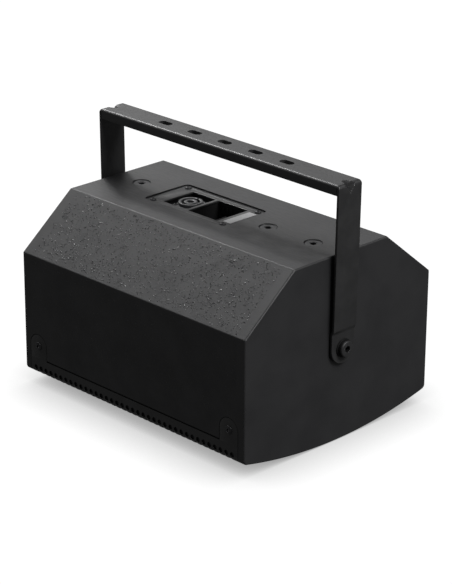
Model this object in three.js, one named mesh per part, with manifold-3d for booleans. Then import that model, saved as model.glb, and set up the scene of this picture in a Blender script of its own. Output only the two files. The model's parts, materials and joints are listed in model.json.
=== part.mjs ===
// Stage monitor wedge: a small two-way coaxial loudspeaker in a bevelled plywood cabinet, lying face
// down on its curved grille, with a steel bracket hinged on its two end cheeks.
//
// Millimetres, +Z up. The origin is on the floor, under the middle of the cabinet.
// X runs from cheek to cheek, the front wall faces -Y, and the driver fires down, along -Z.

import * as THREE from 'three';
import { ConvexGeometry } from 'three/addons/geometries/ConvexGeometry.js';
import { mergeVertices } from 'three/addons/utils/BufferGeometryUtils.js';
import Module from 'manifold-3d';

const wasm = await Module();
wasm.setup();

// ---------------------------------------------------------------------------------------------
// Driving dimensions
// ---------------------------------------------------------------------------------------------

const GAP = 0.3;               // clearance left between pieces that touch
const BOARD = 12;              // plywood thickness of walls and cheeks
const OVERCUT = 5;             // how far a cutter reaches past the face it opens

// cabinet, outside
const LENGTH = 330;
const DEPTH = 267.6;
const HEIGHT = 202.6;
const TOP_WIDTH = 133.2;       // flat rear panel between the two bevels
const BEVEL_FOOT = 148.1;      // height where a bevel meets its wall
const CORNER_RISE = 16;        // rise of the curved face from its middle to the walls
const CORNER_RADIUS = 5.5;     // bend between the curved face and a wall
const ARC_STEPS = 19;          // odd, so the cabinet lies on a flat facet
const CORNER_STEPS = 4;
const WALL_FOOT = 19.3;        // lower edge of the wall boards, hidden by the grille

// grille
const SHEET = 1.5;
const GRILLE_LENGTH = 311.8;
const FLANGE_TOP = 32.3;
const RECESS_TOP = 34;
const TAB_WIDTH = 25.4;
const TAB_CENTRE_Z = 47.4;
const GRILLE_SCREW_RADIUS = 2.2;
const FOAM = 4;

// baffle and ports
const BAFFLE_FRONT = 33.8;
const BAFFLE_THICKNESS = 15;
const DRIVER_HOLE_RADIUS = 94.2;
const PORT_X = 129;
const PORT_WIDTH = 34;
const PORT_LENGTH = 124;
const PORT_WALL = 2;
const PORT_TOP = BAFFLE_FRONT + 52;

// pivot of the bracket
const PIVOT_Z = 102.8;
const BOLT_RADIUS = 5;         // M10
const BOLT_CLEARANCE = 0.4;
const BOLT_HEAD_RADIUS = 8.75;
const BOLT_HEAD_HEIGHT = 3.6;
const FRICTION_WASHER = 0.7;
const STEEL_WASHER = 1;

// bracket
const BRACKET_HALF = 174;      // outside of an arm from the middle, at the crossbar
const ARM_FOOT_HALF = 171.6;   // the same at the foot of the arm, which leans in a little
const BRACKET_TOP = 277.4;
const BRACKET_WIDTH = 32.8;
const BRACKET_SHEET = 3;
const BRACKET_BEND = 4;        // outer bend radius
const JOGGLE_START = 120;
const JOGGLE_RISE = 4;
const FLANGE_DROP = 10.8;
const FLANGE_HALF = BRACKET_HALF - BRACKET_SHEET - 0.6;    // stops just short of the arms
const SLOT_COUNT = 5;
const SLOT_PITCH = 44;
const SLOT_LENGTH = 17.5;
const SLOT_WIDTH = 9;
const DIMPLE_LEG = 10;         // pressed corner gusset, along the arm and along the crossbar
const DIMPLE_WIDTH = 10;

// rear panel fittings
const INSERT_XS = [-126, 63, 126];
const INSERT_RADIUS = 8;
const INSERT_TOP = HEIGHT - 5.6;
const INSERT_FOOT = HEIGHT - 29.8;
const PLUG_HEAD_RADIUS = 8.9;
const PLUG_RECESS = 0.8;
const PLATE = { x: -28.6, length: 119, width: 63, radius: 5, thickness: 2, top: HEIGHT - 1.4 };
const GASKET_THICKNESS = 0.8;
const PLATE_SCREW_X = 52;      // from the plate's middle
const PLATE_SCREW_Y = 25.4;
const PLATE_SCREW_RADIUS = 1.9;
const INPUT_WINDOW = { from: -68.8, to: -34.7, half: 21.4 };
const LINK_WINDOW = { from: -30.7, to: 11.9, half: 22 };
const DISH = { from: -73, to: 15.4, half: 23.8, bottom: HEIGHT - 28.8, wall: 1.8 };
const INPUT_BAY_FLOOR = PLATE.top - 6.2;
const LINK_BAY_FLOOR = DISH.bottom + 2.3;
const CONNECTOR_X = -50.3;
const COLLAR_TOP = PLATE.top - 0.4;
const SOCKET_FLOOR = COLLAR_TOP - 25;
const LABEL = { from: 17.1, to: 27.9, half: 19, thickness: 0.4 };

// driver, all round the axis through the origin; its own heights are told from DRIVER_SEAT,
// which is lifted to the front of the baffle together with the crossover
const ROUND = 24;              // facets of a large round part
const HF_ROUND = 16;           // facets of the treble driver
const SMALL_ROUND = 12;        // facets of a fastener or a hole
const RIM_RADIUS = 104;
const DRIVER_SEAT = 26;
const DRIVER_LIFT = BAFFLE_FRONT - DRIVER_SEAT;
const RIM_FRONT = 21.2;
const MOTOR_FRONT = 80;        // front face of the motor's front plate

// crossover board, standing on four feet off the rear wall
const BOARD_FEET = 7.2;
const CROSSOVER_FRONT = DEPTH / 2 - BOARD - GAP - BOARD_FEET;
const CROSSOVER = { half: 60, bottom: 50, top: 125, thickness: 1.6 };

// ---------------------------------------------------------------------------------------------
// Solid-making helpers
// ---------------------------------------------------------------------------------------------

function toSolid(geometry) {
  const bare = geometry.clone();
  bare.deleteAttribute('normal');
  bare.deleteAttribute('uv');
  const merged = mergeVertices(bare);
  return new wasm.Manifold(new wasm.Mesh({
    numProp: 3,
    vertProperties: new Float32Array(merged.attributes.position.array),
    triVerts: new Uint32Array(merged.index.array),
  }));
}

function toGeometry(solid) {
  const mesh = solid.getMesh();
  const geometry = new THREE.BufferGeometry();
  geometry.setAttribute('position', new THREE.BufferAttribute(new Float32Array(mesh.vertProperties), 3));
  geometry.setIndex(new THREE.BufferAttribute(new Uint32Array(mesh.triVerts), 1));
  geometry.computeVertexNormals();
  return geometry;
}

function shapeOf(points) {
  return new THREE.Shape(points.map(([a, b]) => new THREE.Vector2(a, b)));
}

function extrude(shape, depth, options = {}) {
  return new THREE.ExtrudeGeometry(shape, { depth, bevelEnabled: false, curveSegments: 4, ...options });
}

// A prism along X from a shape drawn in (y, z).
function prismX(shape, from, to) {
  const turn = new THREE.Matrix4().makeBasis(
    new THREE.Vector3(0, 1, 0), new THREE.Vector3(0, 0, 1), new THREE.Vector3(1, 0, 0));
  return toSolid(extrude(shape, to - from).applyMatrix4(turn).translate(from, 0, 0));
}

// A prism along Y from a shape drawn in (x, z).
function prismY(shape, from, to) {
  return toSolid(extrude(shape, to - from).rotateX(Math.PI / 2).translate(0, to, 0));
}

// A prism along Z from a shape drawn in (x, y).
function prismZ(shape, from, to) {
  return toSolid(extrude(shape, to - from).translate(0, 0, from));
}

function block([x0, y0, z0], [x1, y1, z1]) {
  const box = new THREE.BoxGeometry(x1 - x0, y1 - y0, z1 - z0);
  return toSolid(box.translate((x0 + x1) / 2, (y0 + y1) / 2, (z0 + z1) / 2));
}

// A body of revolution round Z. An open profile runs up from the axis and back to it.
function turned(profile, segments = ROUND) {
  const points = profile.map(([r, z]) => new THREE.Vector2(r, z));
  return toSolid(new THREE.LatheGeometry(points, segments).rotateX(Math.PI / 2));
}

// A ring of revolution: the profile runs up its outer side and down its inner side, and is closed here.
function turnedRing(profile, segments = ROUND) {
  return turned([...profile, profile[0]], segments);
}

function cylinder(radius, from, to, segments = SMALL_ROUND) {
  return turned([[0, from], [radius, from], [radius, to], [0, to]], segments);
}

function tubeRing(inner, outer, from, to, segments = ROUND) {
  return turnedRing([[outer, from], [outer, to], [inner, to], [inner, from]], segments);
}

function hexPrism(acrossFlats, from, to) {
  return cylinder(acrossFlats / Math.sqrt(3), from, to, 6);
}

function roundedRectangle(x0, y0, x1, y1, radius) {
  const shape = new THREE.Shape();
  shape.moveTo(x0 + radius, y0);
  shape.absarc(x1 - radius, y0 + radius, radius, -Math.PI / 2, 0);
  shape.absarc(x1 - radius, y1 - radius, radius, 0, Math.PI / 2);
  shape.absarc(x0 + radius, y1 - radius, radius, Math.PI / 2, Math.PI);
  shape.absarc(x0 + radius, y0 + radius, radius, Math.PI, Math.PI * 1.5);
  return shape;
}

// Turns a solid made round Z so that its axis lies along X.
function alongX(solid) {
  return solid.rotate([0, 90, 0]);
}

function joined(solids) {
  return solids.reduce((whole, piece) => whole.add(piece));
}

function cutBy(solid, cutters) {
  return cutters.reduce((rest, cutter) => rest.subtract(cutter), solid);
}

// ---------------------------------------------------------------------------------------------
// Cabinet cross-section, drawn in (y, z)
// ---------------------------------------------------------------------------------------------

const halfDepth = DEPTH / 2;
const arcRadius = (halfDepth ** 2 + CORNER_RISE ** 2) / (2 * CORNER_RISE);
const bevelRun = halfDepth - TOP_WIDTH / 2;
const bevelDrop = HEIGHT - BEVEL_FOOT;
const bevelNormal = new THREE.Vector2(bevelDrop, bevelRun).normalize();
const bevelOffset = bevelNormal.x * (TOP_WIDTH / 2) + bevelNormal.y * HEIGHT;

// Where the bevel meets the top, with every face drawn in by inset.
function bevelHead(inset) {
  const z = HEIGHT - inset;
  return [(bevelOffset - inset - bevelNormal.y * z) / bevelNormal.x, z];
}

// Where the bevel meets the wall, with every face drawn in by inset.
function bevelToe(inset) {
  const y = halfDepth - inset;
  return [y, (bevelOffset - inset - bevelNormal.x * y) / bevelNormal.y];
}

const cornerCentreY = halfDepth - CORNER_RADIUS;
const cornerCentreZ = arcRadius - Math.sqrt((arcRadius - CORNER_RADIUS) ** 2 - cornerCentreY ** 2);
const arcHalfAngle = Math.atan2(cornerCentreY, arcRadius - cornerCentreZ);
const facetDrop = arcRadius * (1 - Math.cos(arcHalfAngle / ARC_STEPS));

// The curved face from its -Y end to its +Y end, drawn in by inset, without the corners.
function curvedFace(inset, halfAngle = arcHalfAngle) {
  const radius = arcRadius - inset;
  return Array.from({ length: ARC_STEPS + 1 }, (_, i) => {
    const angle = halfAngle * (2 * i / ARC_STEPS - 1);
    return [radius * Math.sin(angle), arcRadius - facetDrop - radius * Math.cos(angle)];
  });
}

// The bent corner on the +Y side, from the curved face up to the wall.
function bentCorner(inset) {
  const radius = CORNER_RADIUS - inset;
  const start = arcHalfAngle - Math.PI / 2;
  return Array.from({ length: CORNER_STEPS }, (_, i) => {
    const angle = start * (1 - (i + 1) / CORNER_STEPS);
    return [cornerCentreY + radius * Math.cos(angle), cornerCentreZ + radius * Math.sin(angle)];
  });
}

function mirrored(points) {
  return points.map(([y, z]) => [-y, z]).reverse();
}

function sectionShape(inset) {
  const side = [...bentCorner(inset), bevelToe(inset), bevelHead(inset)];
  return shapeOf([...curvedFace(inset), ...side, ...mirrored(side)]);
}

// ---------------------------------------------------------------------------------------------
// Cabinet boards
// ---------------------------------------------------------------------------------------------

const innerHalf = LENGTH / 2 - BOARD;
const recessHalf = GRILLE_LENGTH / 2 + 0.5;
const tabX = GRILLE_LENGTH / 2 - TAB_WIDTH / 2;

function tabShape(side, margin) {
  const half = TAB_WIDTH / 2 + margin;
  const x = side * tabX;
  const shape = new THREE.Shape();
  shape.moveTo(x - half, FLANGE_TOP - 2);
  shape.lineTo(x + half, FLANGE_TOP - 2);
  shape.lineTo(x + half, TAB_CENTRE_Z);
  shape.absarc(x, TAB_CENTRE_Z, half, 0, Math.PI);
  return shape;
}

// The shallow rebate that the grille lies in: round the curved face, up both walls, and at the tabs.
function grilleRebate() {
  const depth = SHEET + GAP;
  const past = halfDepth + OVERCUT;
  const kept = prismX(sectionShape(depth), -recessHalf - 1, recessHalf + 1);
  const around = block([-recessHalf, -past, -OVERCUT], [recessHalf, past, RECESS_TOP]).subtract(kept);
  const tabs = [-1, 1].flatMap((side) => [
    prismY(tabShape(side, 0.5), halfDepth - depth, past),
    prismY(tabShape(side, 0.5), -past, depth - halfDepth),
  ]);
  return joined([around, ...tabs]);
}

const rebate = grilleRebate();

// A pilot hole for each grille screw.
function grilleScrewHoles() {
  return [-1, 1].flatMap((side) => [-1, 1].map((end) => cylinder(GRILLE_SCREW_RADIUS + GAP, 0, BOARD, 12)
    .rotate([-90 * side, 0, 0])
    .translate([end * tabX, side * (halfDepth - BOARD + 1), TAB_CENTRE_Z])));
}

// A board whose long edges are mitred: outer and inner corners in order round the section.
function mitredBoard(outerStart, outerEnd, innerEnd, innerStart) {
  const along = new THREE.Vector2(outerEnd[0] - outerStart[0], outerEnd[1] - outerStart[1]);
  along.setLength(GAP * 0.7);
  const shift = ([y, z], sign) => [y + sign * along.x, z + sign * along.y];
  const corners = [
    shift(outerStart, 1),
    shift(outerEnd, -1),
    shift(innerEnd, -1),
    shift(innerStart, 1),
  ];
  return prismX(shapeOf(corners), GAP - innerHalf, innerHalf - GAP);
}

function bevelBoard() {
  return mitredBoard(bevelToe(0), bevelHead(0), bevelHead(BOARD), bevelToe(BOARD));
}

function wallBoard() {
  const foot = [halfDepth, WALL_FOOT];
  const innerFoot = [halfDepth - BOARD, WALL_FOOT];
  return cutBy(mitredBoard(foot, bevelToe(0), bevelToe(BOARD), innerFoot), [rebate, ...grilleScrewHoles()]);
}

function backPanel() {
  const [headY] = bevelHead(0);
  const [innerY] = bevelHead(BOARD);
  const inner = HEIGHT - BOARD;
  const board = mitredBoard([headY, HEIGHT], [-headY, HEIGHT], [-innerY, inner], [innerY, inner]);
  const half = PLATE.length / 2 + 0.7;
  const side = PLATE.width / 2 + 0.7;
  const pocket = roundedRectangle(PLATE.x - half, -side, PLATE.x + half, side, PLATE.radius + 0.7);
  const pocketFloor = PLATE.top - PLATE.thickness - GASKET_THICKNESS - 2 * GAP;
  const dishSide = DISH.half + GAP;
  const cutouts = [
    prismZ(pocket, pocketFloor, HEIGHT + OVERCUT),
    block([DISH.from - GAP, -dishSide, inner - OVERCUT], [DISH.to + GAP, dishSide, HEIGHT + OVERCUT]),
  ];
  const pilot = cylinder(PLATE_SCREW_RADIUS + GAP, inner + 1, HEIGHT, 12);
  const screwHoles = plateScrewPlaces().map(([x, y]) => pilot.translate([x, y, 0]));
  const insertHoles = INSERT_XS.map((x) => countersink().translate([x, 0, 0]));
  return cutBy(board, [...cutouts, ...screwHoles, ...insertHoles]);
}

// Countersunk at the top for the plug's head, and bored from below for the threaded insert.
function countersink() {
  const reach = PLUG_HEAD_RADIUS - BOLT_RADIUS;
  const headTop = HEIGHT - PLUG_RECESS;
  return turned([
    [0, HEIGHT - BOARD - OVERCUT],
    [INSERT_RADIUS + GAP, HEIGHT - BOARD - OVERCUT],
    [INSERT_RADIUS + GAP, INSERT_TOP + GAP],
    [BOLT_RADIUS + 0.5, INSERT_TOP + GAP],
    [BOLT_RADIUS + 0.5, headTop - reach],
    [PLUG_HEAD_RADIUS + 0.5 + PLUG_RECESS + 1, HEIGHT + 1],
    [0, HEIGHT + 1],
  ], SMALL_ROUND);
}

function endCheek(end) {
  const from = end > 0 ? innerHalf : -LENGTH / 2;
  const hole = alongX(cylinder(INSERT_RADIUS + GAP, -LENGTH, LENGTH)).translate([0, 0, PIVOT_Z]);
  return cutBy(prismX(sectionShape(0), from, from + BOARD), [rebate, hole]);
}

function portShape(margin) {
  const half = PORT_WIDTH / 2 + margin;
  const reach = PORT_LENGTH / 2 + margin;
  return roundedRectangle(-half, -reach, half, reach, half - 0.01);
}

function baffleBoard() {
  const x = innerHalf - GAP;
  const y = halfDepth - BOARD - GAP;
  const board = block([-x, -y, BAFFLE_FRONT], [x, y, BAFFLE_FRONT + BAFFLE_THICKNESS]);
  const ports = [-1, 1].map((end) => prismZ(portShape(GAP), 0, HEIGHT).translate([end * PORT_X, 0, 0]));
  return cutBy(board, [cylinder(DRIVER_HOLE_RADIUS, 0, HEIGHT, ROUND), ...ports]);
}

// A flanged slot-shaped sleeve, open at both ends.
function portDuct() {
  const flange = prismZ(portShape(3), BAFFLE_FRONT - 2.3, BAFFLE_FRONT - GAP);
  const sleeve = prismZ(portShape(0), BAFFLE_FRONT - 1, PORT_TOP);
  return flange.add(sleeve).subtract(prismZ(portShape(-PORT_WALL), 0, HEIGHT));
}

// ---------------------------------------------------------------------------------------------
// Grille
// ---------------------------------------------------------------------------------------------

function frontGrille() {
  const half = GRILLE_LENGTH / 2;
  const keep = block([-half, -DEPTH, -OVERCUT], [half, DEPTH, FLANGE_TOP]);
  const sheet = prismX(sectionShape(0), -half, half)
    .subtract(prismX(sectionShape(SHEET), -half - 1, half + 1))
    .intersect(keep);
  const tabs = [-1, 1].flatMap((side) => [-1, 1].map((end) => prismY(
    tabShape(end, 0),
    side > 0 ? halfDepth - SHEET : -halfDepth,
    side > 0 ? halfDepth : SHEET - halfDepth,
  )));
  const holes = [-1, 1].map((end) => cylinder(GRILLE_SCREW_RADIUS + 0.4, -DEPTH, DEPTH, 12)
    .rotate([90, 0, 0])
    .translate([end * tabX, 0, TAB_CENTRE_Z]));
  return cutBy(joined([sheet, ...tabs]), holes);
}

// Open-cell foam behind the perforated sheet, following its curve.
function grilleFoam() {
  const reach = halfDepth - BOARD - 2.5;
  const halfAngle = Math.asin(reach / arcRadius);
  const near = SHEET + GAP;
  const band = [...curvedFace(near, halfAngle), ...curvedFace(near + FOAM, halfAngle).reverse()];
  return prismX(shapeOf(band), 0.5 - innerHalf, innerHalf - 0.5);
}

// ---------------------------------------------------------------------------------------------
// Fasteners, each made upright with the underside of its head at z = 0
// ---------------------------------------------------------------------------------------------

function buttonHead(radius, height, shankRadius, shankLength, socket, flatShare = 0.62) {
  const crown = radius * flatShare;
  const shoulder = crown + (radius - crown) * 0.7;
  const body = turned([
    [0, -shankLength],
    [shankRadius, -shankLength],
    [shankRadius, 0],
    [radius, 0],
    [radius, height * 0.3],
    [shoulder, height * 0.72],
    [crown, height],
    [0, height],
  ], SMALL_ROUND);
  return body.subtract(hexPrism(socket, height * 0.35, height + 1));
}

function countersunkPlug() {
  const reach = PLUG_HEAD_RADIUS - BOLT_RADIUS;
  const body = turned([
    [0, -22],
    [BOLT_RADIUS, -22],
    [BOLT_RADIUS, -reach],
    [PLUG_HEAD_RADIUS, 0],
    [0, 0],
  ], SMALL_ROUND);
  return body.subtract(hexPrism(6, -reach + 0.3, 1));
}

// A steel bush with an inner flange, threaded for M10.
function flangedBush(length, flangeFrom, flangeTo, flangeRadius) {
  const bore = BOLT_RADIUS + BOLT_CLEARANCE;
  return turnedRing([
    [INSERT_RADIUS, 0],
    [INSERT_RADIUS, flangeFrom],
    [flangeRadius, flangeFrom],
    [flangeRadius, flangeTo],
    [INSERT_RADIUS, flangeTo],
    [INSERT_RADIUS, length],
    [bore, length],
    [bore, 0],
  ], SMALL_ROUND);
}

function washer(innerRadius, outerRadius, thickness) {
  return tubeRing(innerRadius, outerRadius, 0, thickness, SMALL_ROUND);
}

// ---------------------------------------------------------------------------------------------
// Connector plate and what it carries
// ---------------------------------------------------------------------------------------------

function plateScrewPlaces() {
  return [-1, 1].flatMap((end) => [-1, 1].map((side) => [
    PLATE.x + end * PLATE_SCREW_X,
    side * PLATE_SCREW_Y,
  ]));
}

function plateOutline(inset) {
  const half = PLATE.length / 2 - inset;
  const side = PLATE.width / 2 - inset;
  return roundedRectangle(PLATE.x - half, -side, PLATE.x + half, side, PLATE.radius);
}

function plateScrewClearance() {
  return plateScrewPlaces().map(([x, y]) => cylinder(PLATE_SCREW_RADIUS + 0.4, 0, HEIGHT + OVERCUT, 12)
    .translate([x, y, 0]));
}

function connectorPlate() {
  const windows = [INPUT_WINDOW, LINK_WINDOW].map(
    ({ from, to, half }) => block([from, -half, 0], [to, half, HEIGHT + 1]));
  const plate = prismZ(plateOutline(0), PLATE.top - PLATE.thickness, PLATE.top);
  return cutBy(plate, [...windows, ...plateScrewClearance()]);
}

function plateGasket() {
  const top = PLATE.top - PLATE.thickness - GAP;
  const middle = block([DISH.from - 0.6, -DISH.half - 0.6, 0], [DISH.to + 0.6, DISH.half + 0.6, HEIGHT]);
  return cutBy(prismZ(plateOutline(0.5), top - GASKET_THICKNESS, top), [middle, ...plateScrewClearance()]);
}

// A moulded tray under the plate: a shallow bay for the input connector and a deep one for the link.
function connectorDish() {
  const top = PLATE.top - PLATE.thickness - GAP;
  const inner = DISH.half - DISH.wall;
  const divider = (INPUT_WINDOW.to + LINK_WINDOW.from) / 2;
  const body = block([DISH.from, -DISH.half, DISH.bottom], [DISH.to, DISH.half, top]);
  const inputBay = [DISH.from + DISH.wall, divider - DISH.wall / 2];
  const linkBay = [divider + DISH.wall / 2, DISH.to - DISH.wall];
  return cutBy(body, [
    block([inputBay[0], -inner, INPUT_BAY_FLOOR], [inputBay[1], inner, HEIGHT]),
    block([inputBay[0], -inner, 0], [inputBay[1], inner, INPUT_BAY_FLOOR - 2.5]),
    block([linkBay[0], -inner, LINK_BAY_FLOOR], [linkBay[1], inner, HEIGHT]),
    cylinder(12.5, 0, HEIGHT).translate([CONNECTOR_X, 0, 0]),
  ]);
}

// Four-pole speaker socket: a square flange in the bay, and a collar that rises to the plate.
function inputConnectorShell() {
  const flange = block([-13, -15.5, INPUT_BAY_FLOOR + GAP], [13, 15.5, INPUT_BAY_FLOOR + 2.5]);
  const body = cylinder(12, SOCKET_FLOOR - 5, INPUT_BAY_FLOOR + 1);
  const collar = cylinder(13, INPUT_BAY_FLOOR + GAP, COLLAR_TOP);
  return joined([flange, body, collar]).subtract(cylinder(9.8, SOCKET_FLOOR, HEIGHT));
}

function inputConnectorCore() {
  const bore = cylinder(2.5, SOCKET_FLOOR + 10, HEIGHT, 12);
  return cylinder(7.2, SOCKET_FLOOR + GAP, COLLAR_TOP - 0.2).subtract(bore);
}

// Screw terminals for the link to a second loudspeaker.
function linkTerminalBlock() {
  const body = block([-7, -18, 0], [7, 18, 12]);
  const ways = [-12, -4, 4, 12];
  const entries = ways.map((y) => block([2, y - 2.6, 2], [8, y + 2.6, 7]));
  const screwWells = ways.map((y) => cylinder(2.4, 7.5, 13, 12).translate([-1, y, 0]));
  return cutBy(body, [...entries, ...screwWells]);
}

// ---------------------------------------------------------------------------------------------
// Coaxial driver
// ---------------------------------------------------------------------------------------------

function wooferBasket() {
  const frame = turnedRing([
    [RIM_RADIUS, RIM_FRONT],
    [RIM_RADIUS, DRIVER_SEAT - GAP],
    [92.5, DRIVER_SEAT - GAP],
    [91, 44],
    [66, MOTOR_FRONT - GAP],
    [41, MOTOR_FRONT - GAP],
    [41, 76.5],
    [60, 76.5],
    [66, 66.3],
    [71, 66.3],
    [87.6, 43],
    [89.5, 25],
    [91, RIM_FRONT],
  ]);
  const window = block([60, -22, 46], [100, 22, 64]);
  const windows = Array.from({ length: 6 }, (_, i) => window.rotate([0, 0, 30 + 60 * i]));
  return cutBy(frame, windows);
}

// Half-roll edge: glued to the rim outside and to the cone inside.
function wooferSurround() {
  const middle = 84.75;
  const roll = 5.75;
  const skin = 0.9;
  const foot = RIM_FRONT - GAP;
  const arch = (radius, from, to) => Array.from({ length: 4 }, (_, i) => {
    const angle = from + (to - from) * i / 3;
    return [middle + radius * Math.cos(angle), foot - skin - radius * Math.sin(angle)];
  });
  return turnedRing([
    [97, foot - skin],
    [97, foot],
    ...arch(roll - skin, 0, Math.PI),
    [74, foot],
    [74, foot - skin],
    ...arch(roll, Math.PI, 0),
  ]);
}

function wooferCone() {
  return turnedRing([
    [79.3, RIM_FRONT],
    [79.3, RIM_FRONT + 1],
    [58, 38.2],
    [38.7, 61],
    [37.5, 61],
    [57, 37],
    [77, RIM_FRONT],
  ]);
}

// Corrugated ring that centres the coil.
function wooferSpider() {
  const skin = 1;
  const waves = [[38.6, 65], [45, 66.6], [52, 63.6], [59, 66.6], [66, 65], [70.5, 65]];
  return turnedRing([
    [70.5, 65 + skin],
    ...waves.slice(0, -1).reverse().map(([r, z]) => [r, z + skin]),
    [37.5, 65 + skin],
    [37.5, 65],
    ...waves,
  ]);
}

function voiceCoil() {
  return turnedRing([
    [37.2, 57],
    [37.2, 79],
    [38.4, 79],
    [38.4, 91],
    [37.2, 91],
    [37.2, 93],
    [36.3, 93],
    [36.3, 57],
  ]);
}

function backPlateWithPole() {
  return turnedRing([
    [35, MOTOR_FRONT],
    [35, 104.3],
    [62, 104.3],
    [62, 111],
    [11, 111],
    [11, MOTOR_FRONT],
  ]);
}

// Treble horn: its throat runs through the pole and its mouth opens inside the cone.
function hfHorn() {
  return turnedRing([
    [30, 48],
    [20.5, 60],
    [13.5, 72],
    [10.6, 80],
    [10.6, 110.7],
    [8, 110.7],
    [8.4, 80],
    [11.4, 71],
    [18, 59],
    [28, 48],
  ], HF_ROUND);
}

// Rear can of the treble driver, with its own motor, round an inner chamber.
function hfDriverHousing() {
  return turnedRing([
    [44, 111.3],
    [45, 113],
    [45, 141],
    [41, 145],
    [4, 145],
    [4, 138],
    [30, 138],
    [30, 118],
    [8, 118],
    [8, 111.3],
  ], HF_ROUND);
}

function hfDiaphragm() {
  return turned([
    [0, 127.6],
    [8, 126.7],
    [16, 124],
    [22, 120],
    [26, 120],
    [26, 120.8],
    [22.5, 120.8],
    [16.4, 124.8],
    [8.2, 127.5],
    [0, 128.4],
  ], HF_ROUND);
}

// ---------------------------------------------------------------------------------------------
// Crossover, on the rear wall inside
// ---------------------------------------------------------------------------------------------

function crossoverBoard() {
  const { half, bottom, top, thickness } = CROSSOVER;
  const board = block([-half, CROSSOVER_FRONT, bottom], [half, CROSSOVER_FRONT + thickness, top]);
  const foot = cylinder(4, 1, BOARD_FEET, 12).rotate([-90, 0, 0]);
  const feet = [7 - half, half - 7].flatMap((x) => [bottom + 7, top - 7].map(
    (z) => foot.translate([x, CROSSOVER_FRONT, z])));
  return joined([board, ...feet]);
}

function inductorCoil() {
  return tubeRing(9, 23, 0, 20, SMALL_ROUND);
}

// A cable along smooth hand-laid points.
function lead(points, radius, steps) {
  const section = new THREE.Shape();
  section.absarc(0, 0, radius, 0, Math.PI * 2);
  const path = new THREE.CatmullRomCurve3(points.map((p) => new THREE.Vector3(...p)));
  return toSolid(extrude(section, 1, { extrudePath: path, steps, curveSegments: 4 }));
}

// ---------------------------------------------------------------------------------------------
// Bracket
// ---------------------------------------------------------------------------------------------

const innerBearing = LENGTH / 2 + GAP + FRICTION_WASHER + GAP;    // inside of a bracket ear
const outerBearing = innerBearing + BRACKET_SHEET;

// One side of the bent strip, from an ear up to the crossbar, drawn in (x, z).
function armEdge(offset) {
  const ear = outerBearing - offset;
  const armFoot = ARM_FOOT_HALF - offset;
  const radius = BRACKET_BEND - offset;
  const centre = [BRACKET_HALF - BRACKET_BEND, BRACKET_TOP - BRACKET_BEND];
  const bend = Array.from({ length: 6 }, (_, i) => {
    const angle = Math.PI / 2 * i / 5;
    return [centre[0] + radius * Math.cos(angle), centre[1] + radius * Math.sin(angle)];
  });
  return [[ear, 0], [ear, JOGGLE_START], [armFoot, JOGGLE_START + JOGGLE_RISE], ...bend];
}

function bracketStrip() {
  const outer = armEdge(0);
  const inner = armEdge(BRACKET_SHEET);
  const innerLeft = inner.map(([x, z]) => [-x, z]);
  const shape = shapeOf([...outer, ...mirrored(outer), ...innerLeft, ...inner.reverse()]);
  return prismY(shape, -BRACKET_WIDTH / 2, BRACKET_WIDTH / 2);
}

// Keeps the arms' full width above the pivot and rounds the ears below it.
function earOutline() {
  const half = BRACKET_WIDTH / 2;
  const shape = new THREE.Shape();
  shape.moveTo(half + 1, BRACKET_TOP + 1);
  shape.lineTo(-half - 1, BRACKET_TOP + 1);
  shape.lineTo(-half - 1, PIVOT_Z + 5);
  shape.lineTo(-half, PIVOT_Z);
  shape.absarc(0, PIVOT_Z, half, Math.PI, Math.PI * 2);
  shape.lineTo(half + 1, PIVOT_Z + 5);
  return prismX(shape, -BRACKET_HALF - 1, BRACKET_HALF + 1);
}

function crossbarFlange(side) {
  const bottom = BRACKET_TOP - FLANGE_DROP;
  const top = BRACKET_TOP - BRACKET_SHEET / 2;
  const outer = side * BRACKET_WIDTH / 2;
  const inner = outer - side * BRACKET_SHEET;
  return block([-FLANGE_HALF, Math.min(outer, inner), bottom], [FLANGE_HALF, Math.max(outer, inner), top]);
}

// A V-shaped wedge across a bend: widest at the corner (x, z), and running out along both legs.
function bendWedge(end, x, z, leg, width) {
  return toSolid(new ConvexGeometry([
    new THREE.Vector3(end * (x + 1), -width / 2, z + 1),
    new THREE.Vector3(end * (x + 1), width / 2, z + 1),
    new THREE.Vector3(end * (x + 1), 0, z - leg),
    new THREE.Vector3(end * (x - leg), 0, z + 1),
  ]));
}

function bracketSlots() {
  const reach = SLOT_LENGTH / 2;
  const half = SLOT_WIDTH / 2;
  return Array.from({ length: SLOT_COUNT }, (_, i) => {
    const x = (i - (SLOT_COUNT - 1) / 2) * SLOT_PITCH;
    const shape = roundedRectangle(x - reach, -half, x + reach, half, half - 0.01);
    return prismZ(shape, BRACKET_TOP - OVERCUT, BRACKET_TOP + OVERCUT);
  });
}

function yokeBracket() {
  const inside = [BRACKET_HALF - BRACKET_SHEET, BRACKET_TOP - BRACKET_SHEET];
  const ribs = [-1, 1].map((end) => bendWedge(end, ...inside, DIMPLE_LEG, DIMPLE_WIDTH + 4));
  const dimples = [-1, 1].map((end) => bendWedge(end, BRACKET_HALF, BRACKET_TOP, DIMPLE_LEG, DIMPLE_WIDTH));
  const boltHoles = alongX(cylinder(BOLT_RADIUS + 0.5, -LENGTH, LENGTH)).translate([0, 0, PIVOT_Z]);
  const strip = bracketStrip().intersect(earOutline());
  const whole = joined([strip, crossbarFlange(-1), crossbarFlange(1), ...ribs]);
  return cutBy(whole, [...dimples, ...bracketSlots(), boltHoles]);
}

// ---------------------------------------------------------------------------------------------
// Finishes
// ---------------------------------------------------------------------------------------------

function finish(color, roughness, metalness) {
  return new THREE.MeshStandardMaterial({ color, roughness, metalness });
}

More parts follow.
